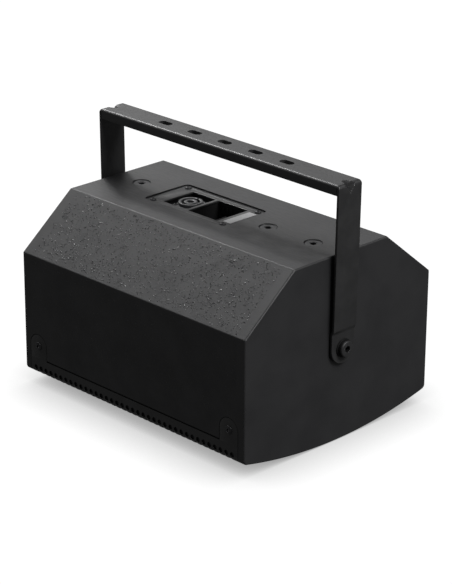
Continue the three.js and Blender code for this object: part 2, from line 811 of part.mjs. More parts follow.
const FINISHES = {
  cabinetPaint: () => finish(0x1d1d1f, 0.55, 0),
  plywood: () => finish(0xb08d5f, 0.8, 0),
  powderCoat: () => finish(0x161617, 0.42, 0.1),
  blackSteel: () => finish(0x202022, 0.38, 0.7),
  zincSteel: () => finish(0x9a9a96, 0.35, 0.9),
  castAlloy: () => finish(0x5a5b5e, 0.5, 0.7),
  blackPlastic: () => finish(0x18181a, 0.5, 0),
  label: () => finish(0x8d8f92, 0.35, 0.4),
  foam: () => finish(0x1a1a1a, 0.95, 0),
  rubber: () => finish(0x151515, 0.8, 0),
  paper: () => finish(0x222220, 0.85, 0),
  cloth: () => finish(0x8a6c3c, 0.9, 0),
  copper: () => finish(0xb5633a, 0.35, 0.8),
  ferrite: () => finish(0x2b2b2d, 0.7, 0.1),
  circuit: () => finish(0x1d5a37, 0.5, 0),
  cable: () => finish(0x2a2a2c, 0.6, 0),
};

// ---------------------------------------------------------------------------------------------
// Assembly
// ---------------------------------------------------------------------------------------------

const monitor = new THREE.Group();
const cabinet = new THREE.Group();
const connectors = new THREE.Group();
const driver = new THREE.Group();
const crossover = new THREE.Group();
const bracket = new THREE.Group();
monitor.add(cabinet, connectors, driver, crossover, bracket);

function place(group, name, solid, finishName, position = [0, 0, 0], rotation = [0, 0, 0]) {
  const mesh = new THREE.Mesh(toGeometry(solid), FINISHES[finishName]());
  mesh.name = name;
  mesh.position.set(...position);
  mesh.rotation.set(...rotation);
  group.add(mesh);
}

// boards
const halfTurn = [0, 0, Math.PI];
place(cabinet, 'back_panel', backPanel(), 'cabinetPaint');
place(cabinet, 'rear_bevel_panel', bevelBoard(), 'cabinetPaint');
place(cabinet, 'front_bevel_panel', bevelBoard(), 'cabinetPaint', [0, 0, 0], halfTurn);
place(cabinet, 'rear_wall_panel', wallBoard(), 'cabinetPaint');
place(cabinet, 'front_wall_panel', wallBoard(), 'cabinetPaint', [0, 0, 0], halfTurn);
place(cabinet, 'left_end_cheek', endCheek(-1), 'cabinetPaint');
place(cabinet, 'right_end_cheek', endCheek(1), 'cabinetPaint');
place(cabinet, 'baffle_board', baffleBoard(), 'plywood');
place(cabinet, 'left_port_duct', portDuct(), 'blackPlastic', [-PORT_X, 0, 0]);
place(cabinet, 'right_port_duct', portDuct(), 'blackPlastic', [PORT_X, 0, 0]);

// grille
place(cabinet, 'front_grille', frontGrille(), 'powderCoat');
place(cabinet, 'grille_foam', grilleFoam(), 'foam');
[['front', -1], ['rear', 1]].forEach(([sideName, side]) => {
  [['left', -1], ['right', 1]].forEach(([endName, end]) => {
    place(cabinet, `grille_screw_${sideName}_${endName}`,
      buttonHead(4.7, 1.4, GRILLE_SCREW_RADIUS, 10.3, 3), 'blackSteel',
      [end * tabX, side * (halfDepth + GAP), TAB_CENTRE_Z], [-side * Math.PI / 2, 0, 0]);
  });
});

// rear panel inserts and their plugs
INSERT_XS.forEach((x, i) => {
  const underPanel = INSERT_TOP - HEIGHT + BOARD;
  const bush = flangedBush(INSERT_TOP - INSERT_FOOT, underPanel + GAP, underPanel + 2.5, 12);
  place(cabinet, `panel_insert_${i + 1}`, bush, 'zincSteel', [x, 0, INSERT_TOP], [Math.PI, 0, 0]);
  place(cabinet, `insert_plug_${i + 1}`, countersunkPlug(), 'blackSteel', [x, 0, HEIGHT - PLUG_RECESS]);
});

// connector plate
place(connectors, 'connector_plate', connectorPlate(), 'powderCoat');
place(connectors, 'plate_gasket', plateGasket(), 'rubber');
place(connectors, 'connector_dish', connectorDish(), 'blackPlastic');
plateScrewPlaces().forEach(([x, y], i) => {
  place(connectors, `plate_screw_${i + 1}`, buttonHead(3.5, 1.5, PLATE_SCREW_RADIUS, 9, 2.4), 'blackSteel',
    [x, y, PLATE.top + GAP]);
});
place(connectors, 'input_connector_shell', inputConnectorShell(), 'blackPlastic', [CONNECTOR_X, 0, 0]);
place(connectors, 'input_connector_core', inputConnectorCore(), 'blackPlastic', [CONNECTOR_X, 0, 0]);
place(connectors, 'link_terminal_block', linkTerminalBlock(), 'blackPlastic',
  [(LINK_WINDOW.from + LINK_WINDOW.to) / 2, 0, LINK_BAY_FLOOR + GAP]);
const label = block([LABEL.from, -LABEL.half, 0], [LABEL.to, LABEL.half, LABEL.thickness]);
place(connectors, 'label_strip', label, 'label', [0, 0, PLATE.top + GAP]);

// coaxial driver
place(driver, 'woofer_basket', wooferBasket(), 'castAlloy');
place(driver, 'woofer_surround', wooferSurround(), 'rubber');
place(driver, 'woofer_cone', wooferCone(), 'paper');
place(driver, 'woofer_spider', wooferSpider(), 'cloth');
place(driver, 'voice_coil', voiceCoil(), 'copper');
place(driver, 'motor_front_plate', tubeRing(40, 62, MOTOR_FRONT, 86), 'zincSteel');
place(driver, 'magnet_ring', tubeRing(44, 64, 86.3, 104), 'ferrite');
place(driver, 'back_plate_with_pole', backPlateWithPole(), 'zincSteel');
place(driver, 'hf_horn', hfHorn(), 'blackPlastic');
place(driver, 'hf_driver_housing', hfDriverHousing(), 'blackSteel');
place(driver, 'hf_diaphragm', hfDiaphragm(), 'zincSteel');

// crossover and its leads
const onBoard = CROSSOVER_FRONT - GAP;
const boardMiddle = CROSSOVER_FRONT + CROSSOVER.thickness / 2;
const leadStart = SOCKET_FLOOR - 6 - DRIVER_LIFT;
driver.position.z = DRIVER_LIFT;
crossover.position.z = DRIVER_LIFT;
place(crossover, 'crossover_board', crossoverBoard(), 'circuit');
place(crossover, 'inductor_coil', inductorCoil(), 'copper', [-30, onBoard, 88], [Math.PI / 2, 0, 0]);
place(crossover, 'filter_capacitor', cylinder(11, -20, 20), 'rubber',
  [26, onBoard - 11, 100], [0, Math.PI / 2, 0]);
place(crossover, 'power_resistor', block([-20, -8, -5], [20, 0, 5]), 'label', [26, onBoard, 66]);
place(crossover, 'input_lead', lead([
  [CONNECTOR_X, 0, leadStart],
  [CONNECTOR_X, 1, leadStart - 5],
  [-53, 22, 153],
  [-56, 50, 150],
  [-55, 80, 143],
  [-51, 107, 137],
  [-50, boardMiddle, 132],
  [-50, boardMiddle, 125.8],
], 2.2, 18), 'cable');
place(crossover, 'woofer_lead', lead([
  [20, boardMiddle, 49.2],
  [20, boardMiddle - 0.8, 46],
  [15, 102, 45.4],
  [7, 92, 49],
  [2, 85, 56],
], 1.8, 12), 'cable');
place(crossover, 'hf_lead', lead([
  [20, boardMiddle, 125.8],
  [20, boardMiddle - 0.3, 131],
  [15, 92, 142],
  [6, 64, 141],
  [1, 46.5, 131],
], 1.5, 12), 'cable');

// bracket and its pivots
place(bracket, 'yoke_bracket', yokeBracket(), 'powderCoat');
[['left', -1], ['right', 1]].forEach(([endName, end]) => {
  const turn = [0, end * Math.PI / 2, 0];
  const at = (x) => [end * x, 0, PIVOT_Z];
  const cheekFace = LENGTH / 2;
  const headBearing = outerBearing + 2 * GAP + STEEL_WASHER;
  const bush = flangedBush(23, BOARD, BOARD + 3, 13);
  const inward = [0, -end * Math.PI / 2, 0];
  const rubber = washer(BOLT_RADIUS + 0.5, 12, FRICTION_WASHER);
  const steel = washer(BOLT_RADIUS + 0.5, 10, STEEL_WASHER);
  const bolt = buttonHead(BOLT_HEAD_RADIUS, BOLT_HEAD_HEIGHT, BOLT_RADIUS, 26, 6, 0.84);
  place(bracket, `pivot_insert_${endName}`, bush, 'zincSteel', at(cheekFace - GAP), inward);
  place(bracket, `friction_washer_${endName}`, rubber, 'rubber', at(cheekFace + GAP), turn);
  place(bracket, `steel_washer_${endName}`, steel, 'blackSteel', at(outerBearing + GAP), turn);
  place(bracket, `pivot_bolt_${endName}`, bolt, 'blackSteel', at(headBearing), turn);
});

export default monitor;
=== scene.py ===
"""The looks of a stage monitor wedge: a bevelled plywood loudspeaker lying on its curved grille.

Shapes are drawn in millimetres in the part's own frame and turned into metres by publish().
X runs from end cheek to end cheek, the front wall faces -Y, and +Z is up.
"""

import json
import math
import random

import bmesh
import bpy
import numpy as np
from mathutils import Matrix, Vector


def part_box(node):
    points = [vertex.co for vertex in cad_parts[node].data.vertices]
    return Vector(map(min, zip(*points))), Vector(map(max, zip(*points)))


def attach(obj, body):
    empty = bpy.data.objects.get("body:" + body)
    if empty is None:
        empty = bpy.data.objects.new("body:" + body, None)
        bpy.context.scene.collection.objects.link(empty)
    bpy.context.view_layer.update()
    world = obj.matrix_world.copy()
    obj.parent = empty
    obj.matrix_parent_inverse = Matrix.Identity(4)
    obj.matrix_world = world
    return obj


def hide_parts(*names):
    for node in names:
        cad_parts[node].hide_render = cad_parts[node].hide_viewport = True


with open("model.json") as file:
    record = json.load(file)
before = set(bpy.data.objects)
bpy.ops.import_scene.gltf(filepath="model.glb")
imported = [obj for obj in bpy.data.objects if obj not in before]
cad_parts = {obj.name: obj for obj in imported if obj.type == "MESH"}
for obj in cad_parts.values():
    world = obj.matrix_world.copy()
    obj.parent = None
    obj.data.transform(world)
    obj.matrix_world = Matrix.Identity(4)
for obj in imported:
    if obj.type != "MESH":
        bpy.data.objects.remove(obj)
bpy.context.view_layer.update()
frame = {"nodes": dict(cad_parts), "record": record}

MM = 0.001
SEED = 11

# ---------------------------------------------------------------------------------------------
# Sizes, in millimetres. What the CAD holds is read from it.
# ---------------------------------------------------------------------------------------------


def box_mm(node):
    low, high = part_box(node)
    return Vector(low) / MM, Vector(high) / MM


CHEEK_LOW, CHEEK_HIGH = box_mm("right_end_cheek")
HALF_LENGTH = CHEEK_HIGH.x
HALF_DEPTH = CHEEK_HIGH.y
HEIGHT = CHEEK_HIGH.z
BOARD = CHEEK_HIGH.x - CHEEK_LOW.x
INNER_HALF = CHEEK_LOW.x
TOP_HALF = 66.6               # half width of the rear panel
BEVEL_FOOT = 148.1            # where a bevel meets its wall
CORNER_RISE = 16              # how far the walls' ends stand above the middle of the curved face
CORNER_RADIUS = 5.5           # bend between the curved face and a wall
EDGE_RADIUS = 1.9             # every outer edge of the cabinet
WALL_FOOT = 19.3

SHEET = 1.5                   # grille steel
GRILLE_HALF = box_mm("front_grille")[1].x
FLANGE_TOP = 32.3
REBATE_TOP = 34
REBATE_DEPTH = 1.8
TAB_HALF = 12.7
TAB_X = GRILLE_HALF - TAB_HALF
TAB_Z = box_mm("front_grille")[1].z - TAB_HALF
TAB_GAP = 0.55
HOLE_PITCH = 8.0
HOLE_ROWS = 41
HOLES_IN_ROW = 38
HOLE_RADIUS = 2.75
FIRST_ROW = -1.7               # from the top of the bend, along the sheet

YOKE_LOW, YOKE_HIGH = box_mm("yoke_bracket")
YOKE_HALF = YOKE_HIGH.x
YOKE_TOP = YOKE_HIGH.z
YOKE_WIDTH = YOKE_HIGH.y
YOKE_SHEET = 3.0
YOKE_BEND = 4.0
ARM_FOOT_X = 171.6            # outer face of an arm above the joggle; it leans out from there
EAR_X = 169.3                 # outer face of an ear, inside of the joggle
PIVOT_Z = YOKE_LOW.z + YOKE_WIDTH
JOGGLE = (119, 125)
FLANGE_DROP = 10.8
FLANGE_END = YOKE_HALF - YOKE_SHEET - 0.6
SLOT_PITCH = 44
SLOT_LENGTH = 17.5
SLOT_WIDTH = 9

PLATE_LOW, PLATE_HIGH = box_mm("connector_plate")
PLATE_TOP = PLATE_HIGH.z
PLATE_X = (PLATE_LOW.x + PLATE_HIGH.x) / 2
PLATE_SCREWS = (52, 25.4)
INPUT_WINDOW = (-68.8, -21.4, -34.7, 21.4)
LINK_WINDOW = (-30.7, -22, 11.9, 22)
INPUT_FLOOR = PLATE_TOP - 6.2
DISH_LOW, DISH_HIGH = box_mm("connector_dish")
CONNECTOR_X = -50.3
INSERT_XS = (-126, 63, 126)

# ---------------------------------------------------------------------------------------------
# Mesh helpers
# ---------------------------------------------------------------------------------------------


def new_object(name, mesh):
    obj = bpy.data.objects.new(name, mesh)
    bpy.context.scene.collection.objects.link(obj)
    return obj


def object_from(name, verts, faces):
    mesh = bpy.data.meshes.new(name)
    mesh.from_pydata([tuple(v) for v in verts], [], faces)
    mesh.update()
    return new_object(name, mesh)


def object_from_bmesh(name, bm):
    bmesh.ops.recalc_face_normals(bm, faces=bm.faces)
    mesh = bpy.data.meshes.new(name)
    bm.to_mesh(mesh)
    bm.free()
    return new_object(name, mesh)


def bake_modifiers(obj):
    """Replaces the object's mesh by its evaluated one."""
    graph = bpy.context.evaluated_depsgraph_get()
    mesh = bpy.data.meshes.new_from_object(obj.evaluated_get(graph))
    obj.modifiers.clear()
    obj.data = mesh
    return obj


def boolean(obj, other, operation):
    modifier = obj.modifiers.new("cut", "BOOLEAN")
    modifier.operation = operation
    modifier.solver = "EXACT"
    modifier.object = other
    bake_modifiers(obj)
    bpy.data.objects.remove(other)
    return obj


def cut(obj, *cutters):
    for cutter in cutters:
        boolean(obj, cutter, "DIFFERENCE")
    return obj


def unite(obj, *others):
    for other in others:
        boolean(obj, other, "UNION")
    return obj


def joined(name, objects):
    """One object with the parts of several, each left as its own closed shell."""
    bm = bmesh.new()
    for obj in objects:
        obj.data.transform(obj.matrix_world)
        bm.from_mesh(obj.data)
        bpy.data.objects.remove(obj)
    mesh = bpy.data.meshes.new(name)
    bm.to_mesh(mesh)
    bm.free()
    return new_object(name, mesh)


def bevelled(obj, width, segments=2, angle=40):
    modifier = obj.modifiers.new("bevel", "BEVEL")
    modifier.width = width
    modifier.segments = segments
    modifier.limit_method = "ANGLE"
    modifier.angle_limit = math.radians(angle)
    modifier.harden_normals = False
    return bake_modifiers(obj)


def smooth_shaded(obj, angle=32):
    obj.data.shade_smooth()
    obj.data.set_sharp_from_angle(angle=math.radians(angle))
    return obj


def arc(cx, cy, radius, start, end, steps):
    """Points on an arc, with angles in degrees and both ends in."""
    angles = [math.radians(start + (end - start) * i / steps) for i in range(steps + 1)]
    return [(cx + radius * math.cos(a), cy + radius * math.sin(a)) for a in angles]


def rounded_rectangle(x0, y0, x1, y1, radius, steps=6):
    return (
        arc(x1 - radius, y0 + radius, radius, -90, 0, steps)
        + arc(x1 - radius, y1 - radius, radius, 0, 90, steps)
        + arc(x0 + radius, y1 - radius, radius, 90, 180, steps)
        + arc(x0 + radius, y0 + radius, radius, 180, 270, steps)
    )


def circle(cx, cy, radius, steps=32):
    return arc(cx, cy, radius, 0, 360 - 360 / steps, steps - 1)


def prism(name, outline, low, high, axis="Z"):
    """A closed prism from an outline in (x, y), (y, z) or (x, z), for the axes Z, X and Y."""
    place = {
        "Z": lambda a, b, c: (a, b, c),
        "X": lambda a, b, c: (c, a, b),
        "Y": lambda a, b, c: (a, c, b),
    }[axis]
    count = len(outline)
    verts = [place(a, b, c) for c in (low, high) for a, b in outline]
    faces = [list(range(count)), list(range(count, 2 * count))]
    faces += [(i, (i + 1) % count, (i + 1) % count + count, i + count) for i in range(count)]
    obj = object_from(name, verts, faces)
    bm = bmesh.new()
    bm.from_mesh(obj.data)
    bmesh.ops.recalc_face_normals(bm, faces=bm.faces)
    bm.to_mesh(obj.data)
    bm.free()
    return obj


def block(name, low, high):
    (x0, y0, z0), (x1, y1, z1) = low, high
    return prism(name, [(x0, y0), (x1, y0), (x1, y1), (x0, y1)], z0, z1)


def plate(name, outlines, low, high, edge=0.3):
    """A flat sheet with holes and eased edges: the first outline is its border, the others are holes."""
    curve = bpy.data.curves.new(name, "CURVE")
    curve.dimensions = "2D"
    curve.fill_mode = "BOTH"
    for outline in outlines:
        spline = curve.splines.new("POLY")
        spline.points.add(len(outline) - 1)
        spline.use_cyclic_u = True
        for point, (x, y) in zip(spline.points, outline):
            point.co = (x, y, 0, 1)
    curve.extrude = (high - low) / 2 - edge
    curve.bevel_depth = edge
    curve.bevel_resolution = 1
    curve.offset = -edge
    source = bpy.data.objects.new(name, curve)
    bpy.context.scene.collection.objects.link(source)
    graph = bpy.context.evaluated_depsgraph_get()
    mesh = bpy.data.meshes.new_from_object(source.evaluated_get(graph))
    bpy.data.objects.remove(source)
    bm = bmesh.new()
    bm.from_mesh(mesh)
    bmesh.ops.remove_doubles(bm, verts=bm.verts, dist=0.001)
    bmesh.ops.recalc_face_normals(bm, faces=bm.faces)
    bm.to_mesh(mesh)
    bm.free()
    mesh.transform(Matrix.Translation((0, 0, (low + high) / 2)))
    return new_object(name, mesh)


def lathe(name, profile, steps=48):
    """A body turned round Z. An open profile starts and ends on the axis, any other one is a ring."""
    on_axis = profile[0][0] < 1e-6
    verts, faces, rings = [], [], []
    for radius, z in profile:
        if radius < 1e-6:
            rings.append([len(verts)])
            verts.append((0, 0, z))
            continue
        rings.append(list(range(len(verts), len(verts) + steps)))
        verts += [(x, y, z) for x, y in circle(0, 0, radius, steps)]
    pairs = list(zip(rings, rings[1:])) if on_axis else list(zip(rings, rings[1:] + rings[:1]))
    for low, high in pairs:
        for i in range(steps):
            j = (i + 1) % steps
            if len(low) == 1:
                faces.append((low[0], high[j], high[i]))
            elif len(high) == 1:
                faces.append((low[i], low[j], high[0]))
            else:
                faces.append((low[i], low[j], high[j], high[i]))
    obj = object_from(name, verts, faces)
    bm = bmesh.new()
    bm.from_mesh(obj.data)
    bmesh.ops.recalc_face_normals(bm, faces=bm.faces)
    bm.to_mesh(obj.data)
    bm.free()
    return obj


def moved(obj, matrix):
    obj.data.transform(matrix)
    obj.data.update()
    return obj


def shifted(obj, x=0, y=0, z=0):
    return moved(obj, Matrix.Translation((x, y, z)))


def turned_about(obj, degrees, axis):
    return moved(obj, Matrix.Rotation(math.radians(degrees), 4, axis))


def hexagon_socket(across, low, high):
    return prism("socket", circle(0, 0, across / math.sqrt(3), 6), low, high)


def star_socket(radius, low, high):
    """The six-lobed recess of a security screw."""
    points = []
    for i in range(48):
        angle = 2 * math.pi * i / 48
        reach = radius * (0.86 + 0.14 * math.cos(6 * angle))
        points.append((reach * math.cos(angle), reach * math.sin(angle)))
    return prism("socket", points, low, high)


def publish(obj, body, slot, material, *nodes):
    """Turns a finished piece into metres and ties it to the frame."""
    obj.data.transform(Matrix.Scale(MM, 4))
    obj.data.materials.clear()
    obj.data.materials.append(material)
    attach(obj, body)
    if nodes:
        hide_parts(*nodes)
    return obj


# ---------------------------------------------------------------------------------------------
# Materials
# ---------------------------------------------------------------------------------------------


class Finish:
    """A Principled material with noise-driven colour, roughness and bump in object space."""

    def __init__(self, name, base, roughness, metallic=0.0, specular=0.5):
        self.material = bpy.data.materials.new(name)
        self.material.use_nodes = True
        self.nodes = self.material.node_tree.nodes
        self.links = self.material.node_tree.links
        self.shader = self.nodes["Principled BSDF"]
        self.shader.inputs["Base Color"].default_value = (*base, 1)
        self.shader.inputs["Roughness"].default_value = roughness
        self.shader.inputs["Metallic"].default_value = metallic
        self.shader.inputs["Specular IOR Level"].default_value = specular
        self.place = self.nodes.new("ShaderNodeTexCoord").outputs["Object"]
        self.height = None

    def stretched(self, x, y, z):
        mapping = self.nodes.new("ShaderNodeMapping")
        mapping.inputs["Scale"].default_value = (x, y, z)
        self.links.new(self.place, mapping.inputs["Vector"])
        return mapping.outputs["Vector"]

    def noise(self, size, detail=3.0, rough=0.5, vector=None):
        """Noise whose blotches are about size millimetres across."""
        node = self.nodes.new("ShaderNodeTexNoise")
        node.inputs["Scale"].default_value = 1 / (size * MM)
        node.inputs["Detail"].default_value = detail
        node.inputs["Roughness"].default_value = rough
        self.links.new(vector or self.place, node.inputs["Vector"])
        return node.outputs["Fac"]

    def cells(self, size, smoothness=0.3):
        node = self.nodes.new("ShaderNodeTexVoronoi")
        node.feature = "SMOOTH_F1"
        node.inputs["Scale"].default_value = 1 / (size * MM)
        node.inputs["Smoothness"].default_value = smoothness
        self.links.new(self.place, node.inputs["Vector"])
        return node.outputs["Distance"]

    def bands(self, size, direction="X"):
        node = self.nodes.new("ShaderNodeTexWave")
        node.bands_direction = direction
        node.inputs["Scale"].default_value = 1 / (size * MM) / 3.18
        self.links.new(self.place, node.inputs["Vector"])
        return node.outputs["Fac"]

    def ramp(self, value, low, high, start=0.0, end=1.0):
        node = self.nodes.new("ShaderNodeMapRange")
        node.inputs["From Min"].default_value = low
        node.inputs["From Max"].default_value = high
        node.inputs["To Min"].default_value = start
        node.inputs["To Max"].default_value = end
        self.links.new(value, node.inputs["Value"])
        return node.outputs["Result"]

    def tint(self, value, dark, light):
        node = self.nodes.new("ShaderNodeMix")
        node.data_type = "RGBA"
        node.inputs["A"].default_value = (*dark, 1)
        node.inputs["B"].default_value = (*light, 1)
        self.links.new(value, node.inputs["Factor"])
        self.links.new(node.outputs["Result"], self.shader.inputs["Base Color"])
        return self

    def gloss(self, value):
        self.links.new(value, self.shader.inputs["Roughness"])
        return self

    def bump(self, value, depth, strength=1.0):
        """Adds relief of depth millimetres."""
        node = self.nodes.new("ShaderNodeBump")
        node.inputs["Strength"].default_value = strength
        node.inputs["Distance"].default_value = depth * MM
        self.links.new(value, node.inputs["Height"])
        if self.height is not None:
            self.links.new(self.height, node.inputs["Normal"])
        self.height = node.outputs["Normal"]
        self.links.new(self.height, self.shader.inputs["Normal"])
        return self


def cabinet_paint(name, grain):
    """Black structure paint, a satin skin with a fine grain under its droplets."""
    finish = Finish(name, (0.016, 0.016, 0.017), 0.5, specular=0.42)
    finish.tint(finish.ramp(finish.noise(30, 4), 0.35, 0.65), (0.013, 0.013, 0.014), (0.020, 0.020, 0.021))
    finish.gloss(finish.ramp(finish.noise(9, 5), 0.3, 0.7, 0.44, 0.56))
    finish.bump(finish.noise(0.9, 3, 0.6), 0.03, grain)
    return finish.material


def droplet_paint(name):
    """The same paint in the droplets, which dried with a glossier skin."""
    finish = Finish(name, (0.014, 0.014, 0.015), 0.24, specular=0.6)
    finish.tint(finish.ramp(finish.noise(14, 3), 0.35, 0.65), (0.011, 0.011, 0.012), (0.018, 0.018, 0.019))
    finish.gloss(finish.ramp(finish.noise(3, 3), 0.3, 0.7, 0.19, 0.3))
    return finish.material


def satin_paint(name):
    """The same paint where it was rolled smooth, with the faint grain of the strokes."""
    finish = Finish(name, (0.016, 0.016, 0.017), 0.5, specular=0.42)
    grain = finish.noise(1.4, 4, 0.6, finish.stretched(0.12, 1, 1))
    finish.tint(finish.ramp(finish.noise(45, 4), 0.35, 0.65), (0.014, 0.014, 0.015), (0.019, 0.019, 0.020))
    finish.gloss(finish.ramp(grain, 0.3, 0.7, 0.42, 0.54))
    finish.bump(grain, 0.04, 0.5)
    finish.bump(finish.noise(0.7, 2), 0.03, 0.5)
    return finish.material


def powder_coat(name):
    finish = Finish(name, (0.016, 0.016, 0.0165), 0.42, specular=0.5)
    finish.tint(finish.ramp(finish.noise(20, 4), 0.35, 0.65), (0.014, 0.014, 0.0145), (0.020, 0.020, 0.0205))
    finish.gloss(finish.ramp(finish.noise(4, 4), 0.3, 0.7, 0.36, 0.48))
    finish.bump(finish.noise(0.8, 2, 0.6), 0.04, 0.6)
    return finish.material


def black_steel(name):
    finish = Finish(name, (0.03, 0.03, 0.032), 0.36, metallic=0.6)
    finish.tint(finish.ramp(finish.noise(3, 4), 0.35, 0.65), (0.02, 0.02, 0.022), (0.045, 0.045, 0.047))
    finish.gloss(finish.ramp(finish.noise(1.2, 4), 0.3, 0.7, 0.28, 0.46))
    finish.bump(finish.noise(0.4, 2), 0.01, 0.4)
    return finish.material


def bright_steel(name, base=(0.55, 0.55, 0.53)):
    finish = Finish(name, base, 0.32, metallic=1.0)
    dark = tuple(c * 0.72 for c in base)
    finish.tint(finish.ramp(finish.noise(6, 5), 0.35, 0.65), dark, base)
    finish.gloss(finish.ramp(finish.noise(1.5, 5, 0.6, finish.stretched(1, 1, 8)), 0.3, 0.7, 0.24, 0.42))
    finish.bump(finish.noise(0.3, 2, 0.5, finish.stretched(1, 1, 6)), 0.008, 0.4)
    return finish.material


def cast_alloy(name):
    finish = Finish(name, (0.20, 0.20, 0.21), 0.5, metallic=0.85)
    finish.tint(finish.ramp(finish.noise(8, 4), 0.35, 0.65), (0.15, 0.15, 0.16), (0.24, 0.24, 0.25))
    finish.gloss(finish.ramp(finish.noise(1, 3), 0.3, 0.7, 0.42, 0.6))
    finish.bump(finish.cells(0.7), 0.03, 0.5)
    return finish.material


def moulded_plastic(name, base=(0.018, 0.018, 0.019), roughness=(0.4, 0.55), specular=0.5):
    finish = Finish(name, base, roughness[0], specular=specular)
    light = tuple(c * 1.35 for c in base)
    finish.tint(finish.ramp(finish.noise(12, 4), 0.35, 0.65), base, light)
    finish.gloss(finish.ramp(finish.noise(2, 4), 0.3, 0.7, *roughness))
    finish.bump(finish.noise(0.35, 2), 0.015, 0.6)
    return finish.material


def label_film(name):
    finish = Finish(name, (0.2, 0.2, 0.205), 0.3, metallic=0.35)
    grain = finish.noise(0.8, 4, 0.6, finish.stretched(6, 0.2, 1))
    finish.tint(finish.ramp(grain, 0.3, 0.7), (0.26, 0.26, 0.265), (0.42, 0.42, 0.425))
    finish.gloss(finish.ramp(grain, 0.3, 0.7, 0.26, 0.4))
    finish.bump(finish.noise(2, 2), 0.02, 0.4)
    return finish.material


def open_foam(name):
    finish = Finish(name, (0.012, 0.012, 0.012), 0.95, specular=0.15)
    pores = finish.cells(0.9, 0.15)
    # The tint is darkest in the cells' pits, where the bump sinks: painted shade in the pores
    finish.tint(finish.ramp(pores, 0.1, 0.5), (0.003, 0.003, 0.003), (0.022, 0.022, 0.022))
    finish.bump(pores, 0.5, 0.8)
    return finish.material


def matt_rubber(name):
    finish = Finish(name, (0.016, 0.016, 0.016), 0.75, specular=0.35)
    finish.tint(finish.ramp(finish.noise(6, 4), 0.35, 0.65), (0.012, 0.012, 0.012), (0.024, 0.024, 0.024))
    finish.gloss(finish.ramp(finish.noise(2, 3), 0.3, 0.7, 0.65, 0.85))
    finish.bump(finish.noise(0.5, 3), 0.03, 0.5)
    return finish.material


def pulp_cone(name):
    finish = Finish(name, (0.03, 0.029, 0.027), 0.85, specular=0.25)
    fibres = finish.noise(2.2, 6, 0.65)
    finish.tint(finish.ramp(fibres, 0.3, 0.7), (0.018, 0.0175, 0.016), (0.045, 0.043, 0.039))
    finish.bump(fibres, 0.12, 0.6)
    return finish.material


def woven_cloth(name, dark, light, size):
    finish = Finish(name, light, 0.9, specular=0.2)
    warp = finish.bands(size, "X")
    weft = finish.bands(size, "Y")
    product = finish.nodes.new("ShaderNodeMath")
    product.operation = "MULTIPLY"
    finish.links.new(warp, product.inputs[0])
    finish.links.new(weft, product.inputs[1])
    finish.tint(product.outputs["Value"], dark, light)
    finish.bump(product.outputs["Value"], 0.15, 0.7)
    return finish.material


def copper_winding(name):
    finish = Finish(name, (0.60, 0.26, 0.12), 0.3, metallic=0.9)
    turns = finish.bands(0.8, "Z")
    finish.tint(turns, (0.30, 0.11, 0.05), (0.66, 0.30, 0.15))
    finish.bump(turns, 0.3, 0.9)
    return finish.material


def sintered_ferrite(name):
    finish = Finish(name, (0.045, 0.045, 0.048), 0.65)
    finish.tint(finish.ramp(finish.noise(3, 6, 0.6), 0.3, 0.7), (0.03, 0.03, 0.032), (0.065, 0.065, 0.068))
    finish.gloss(finish.ramp(finish.noise(4, 4), 0.3, 0.7, 0.55, 0.75))
    finish.bump(finish.noise(0.6, 3), 0.03, 0.6)
    return finish.material


def circuit_board(name):
    finish = Finish(name, (0.03, 0.14, 0.07), 0.4)
    tracks = finish.cells(7, 0.0)
    finish.tint(finish.ramp(tracks, 0.30, 0.34), (0.045, 0.20, 0.10), (0.02, 0.10, 0.05))
    finish.bump(finish.ramp(tracks, 0.30, 0.34), 0.04, 0.6)
    return finish.material


def birch_ply(name):
    finish = Finish(name, (0.55, 0.40, 0.24), 0.75, specular=0.3)
    grain = finish.noise(3, 6, 0.6, finish.stretched(0.08, 1, 1))
    finish.tint(finish.ramp(grain, 0.3, 0.7), (0.42, 0.28, 0.15), (0.62, 0.47, 0.29))
    finish.bump(grain, 0.1, 0.5)
    finish.bump(finish.bands(1.5, "Z"), 0.05, 0.4)
    return finish.material


PAINT_BEADED = cabinet_paint("paint_beaded", 0.5)
PAINT_WALL = cabinet_paint("paint_wall", 0.35)
PAINT_SATIN = satin_paint("paint_satin")
PAINT_DROPLETS = droplet_paint("paint_droplets")
POWDER = powder_coat("powder_coat")
BLACK_STEEL = black_steel("black_steel")
ZINC = bright_steel("zinc_steel")
BRASS = bright_steel("contact_brass", (0.62, 0.44, 0.18))
PLASTIC = moulded_plastic("black_plastic")
SOCKET_PLASTIC = moulded_plastic("socket_plastic", (0.034, 0.034, 0.036), (0.34, 0.46))
FOAM = open_foam("foam")
RUBBER = matt_rubber("rubber")
# Near-black with little shine: painted shade for the pivot bolts' head side walls and the steel washers
# beside them
PAINTED_SHADE_BLACK = moulded_plastic("painted_shade_black", (0.003, 0.003, 0.0032), (0.6, 0.75), 0.15)
# Black plastic made darker than its own colour, with little shine: painted shade for the tray and terminal
# block deep in the connector recess
SHADE_DARKENED_PLASTIC = moulded_plastic("shade_darkened_plastic", (0.0025, 0.0025, 0.0027), (0.6, 0.75), 0.12)
BOLT_BLACK = moulded_plastic("bolt_black", (0.012, 0.012, 0.0125), (0.42, 0.52))

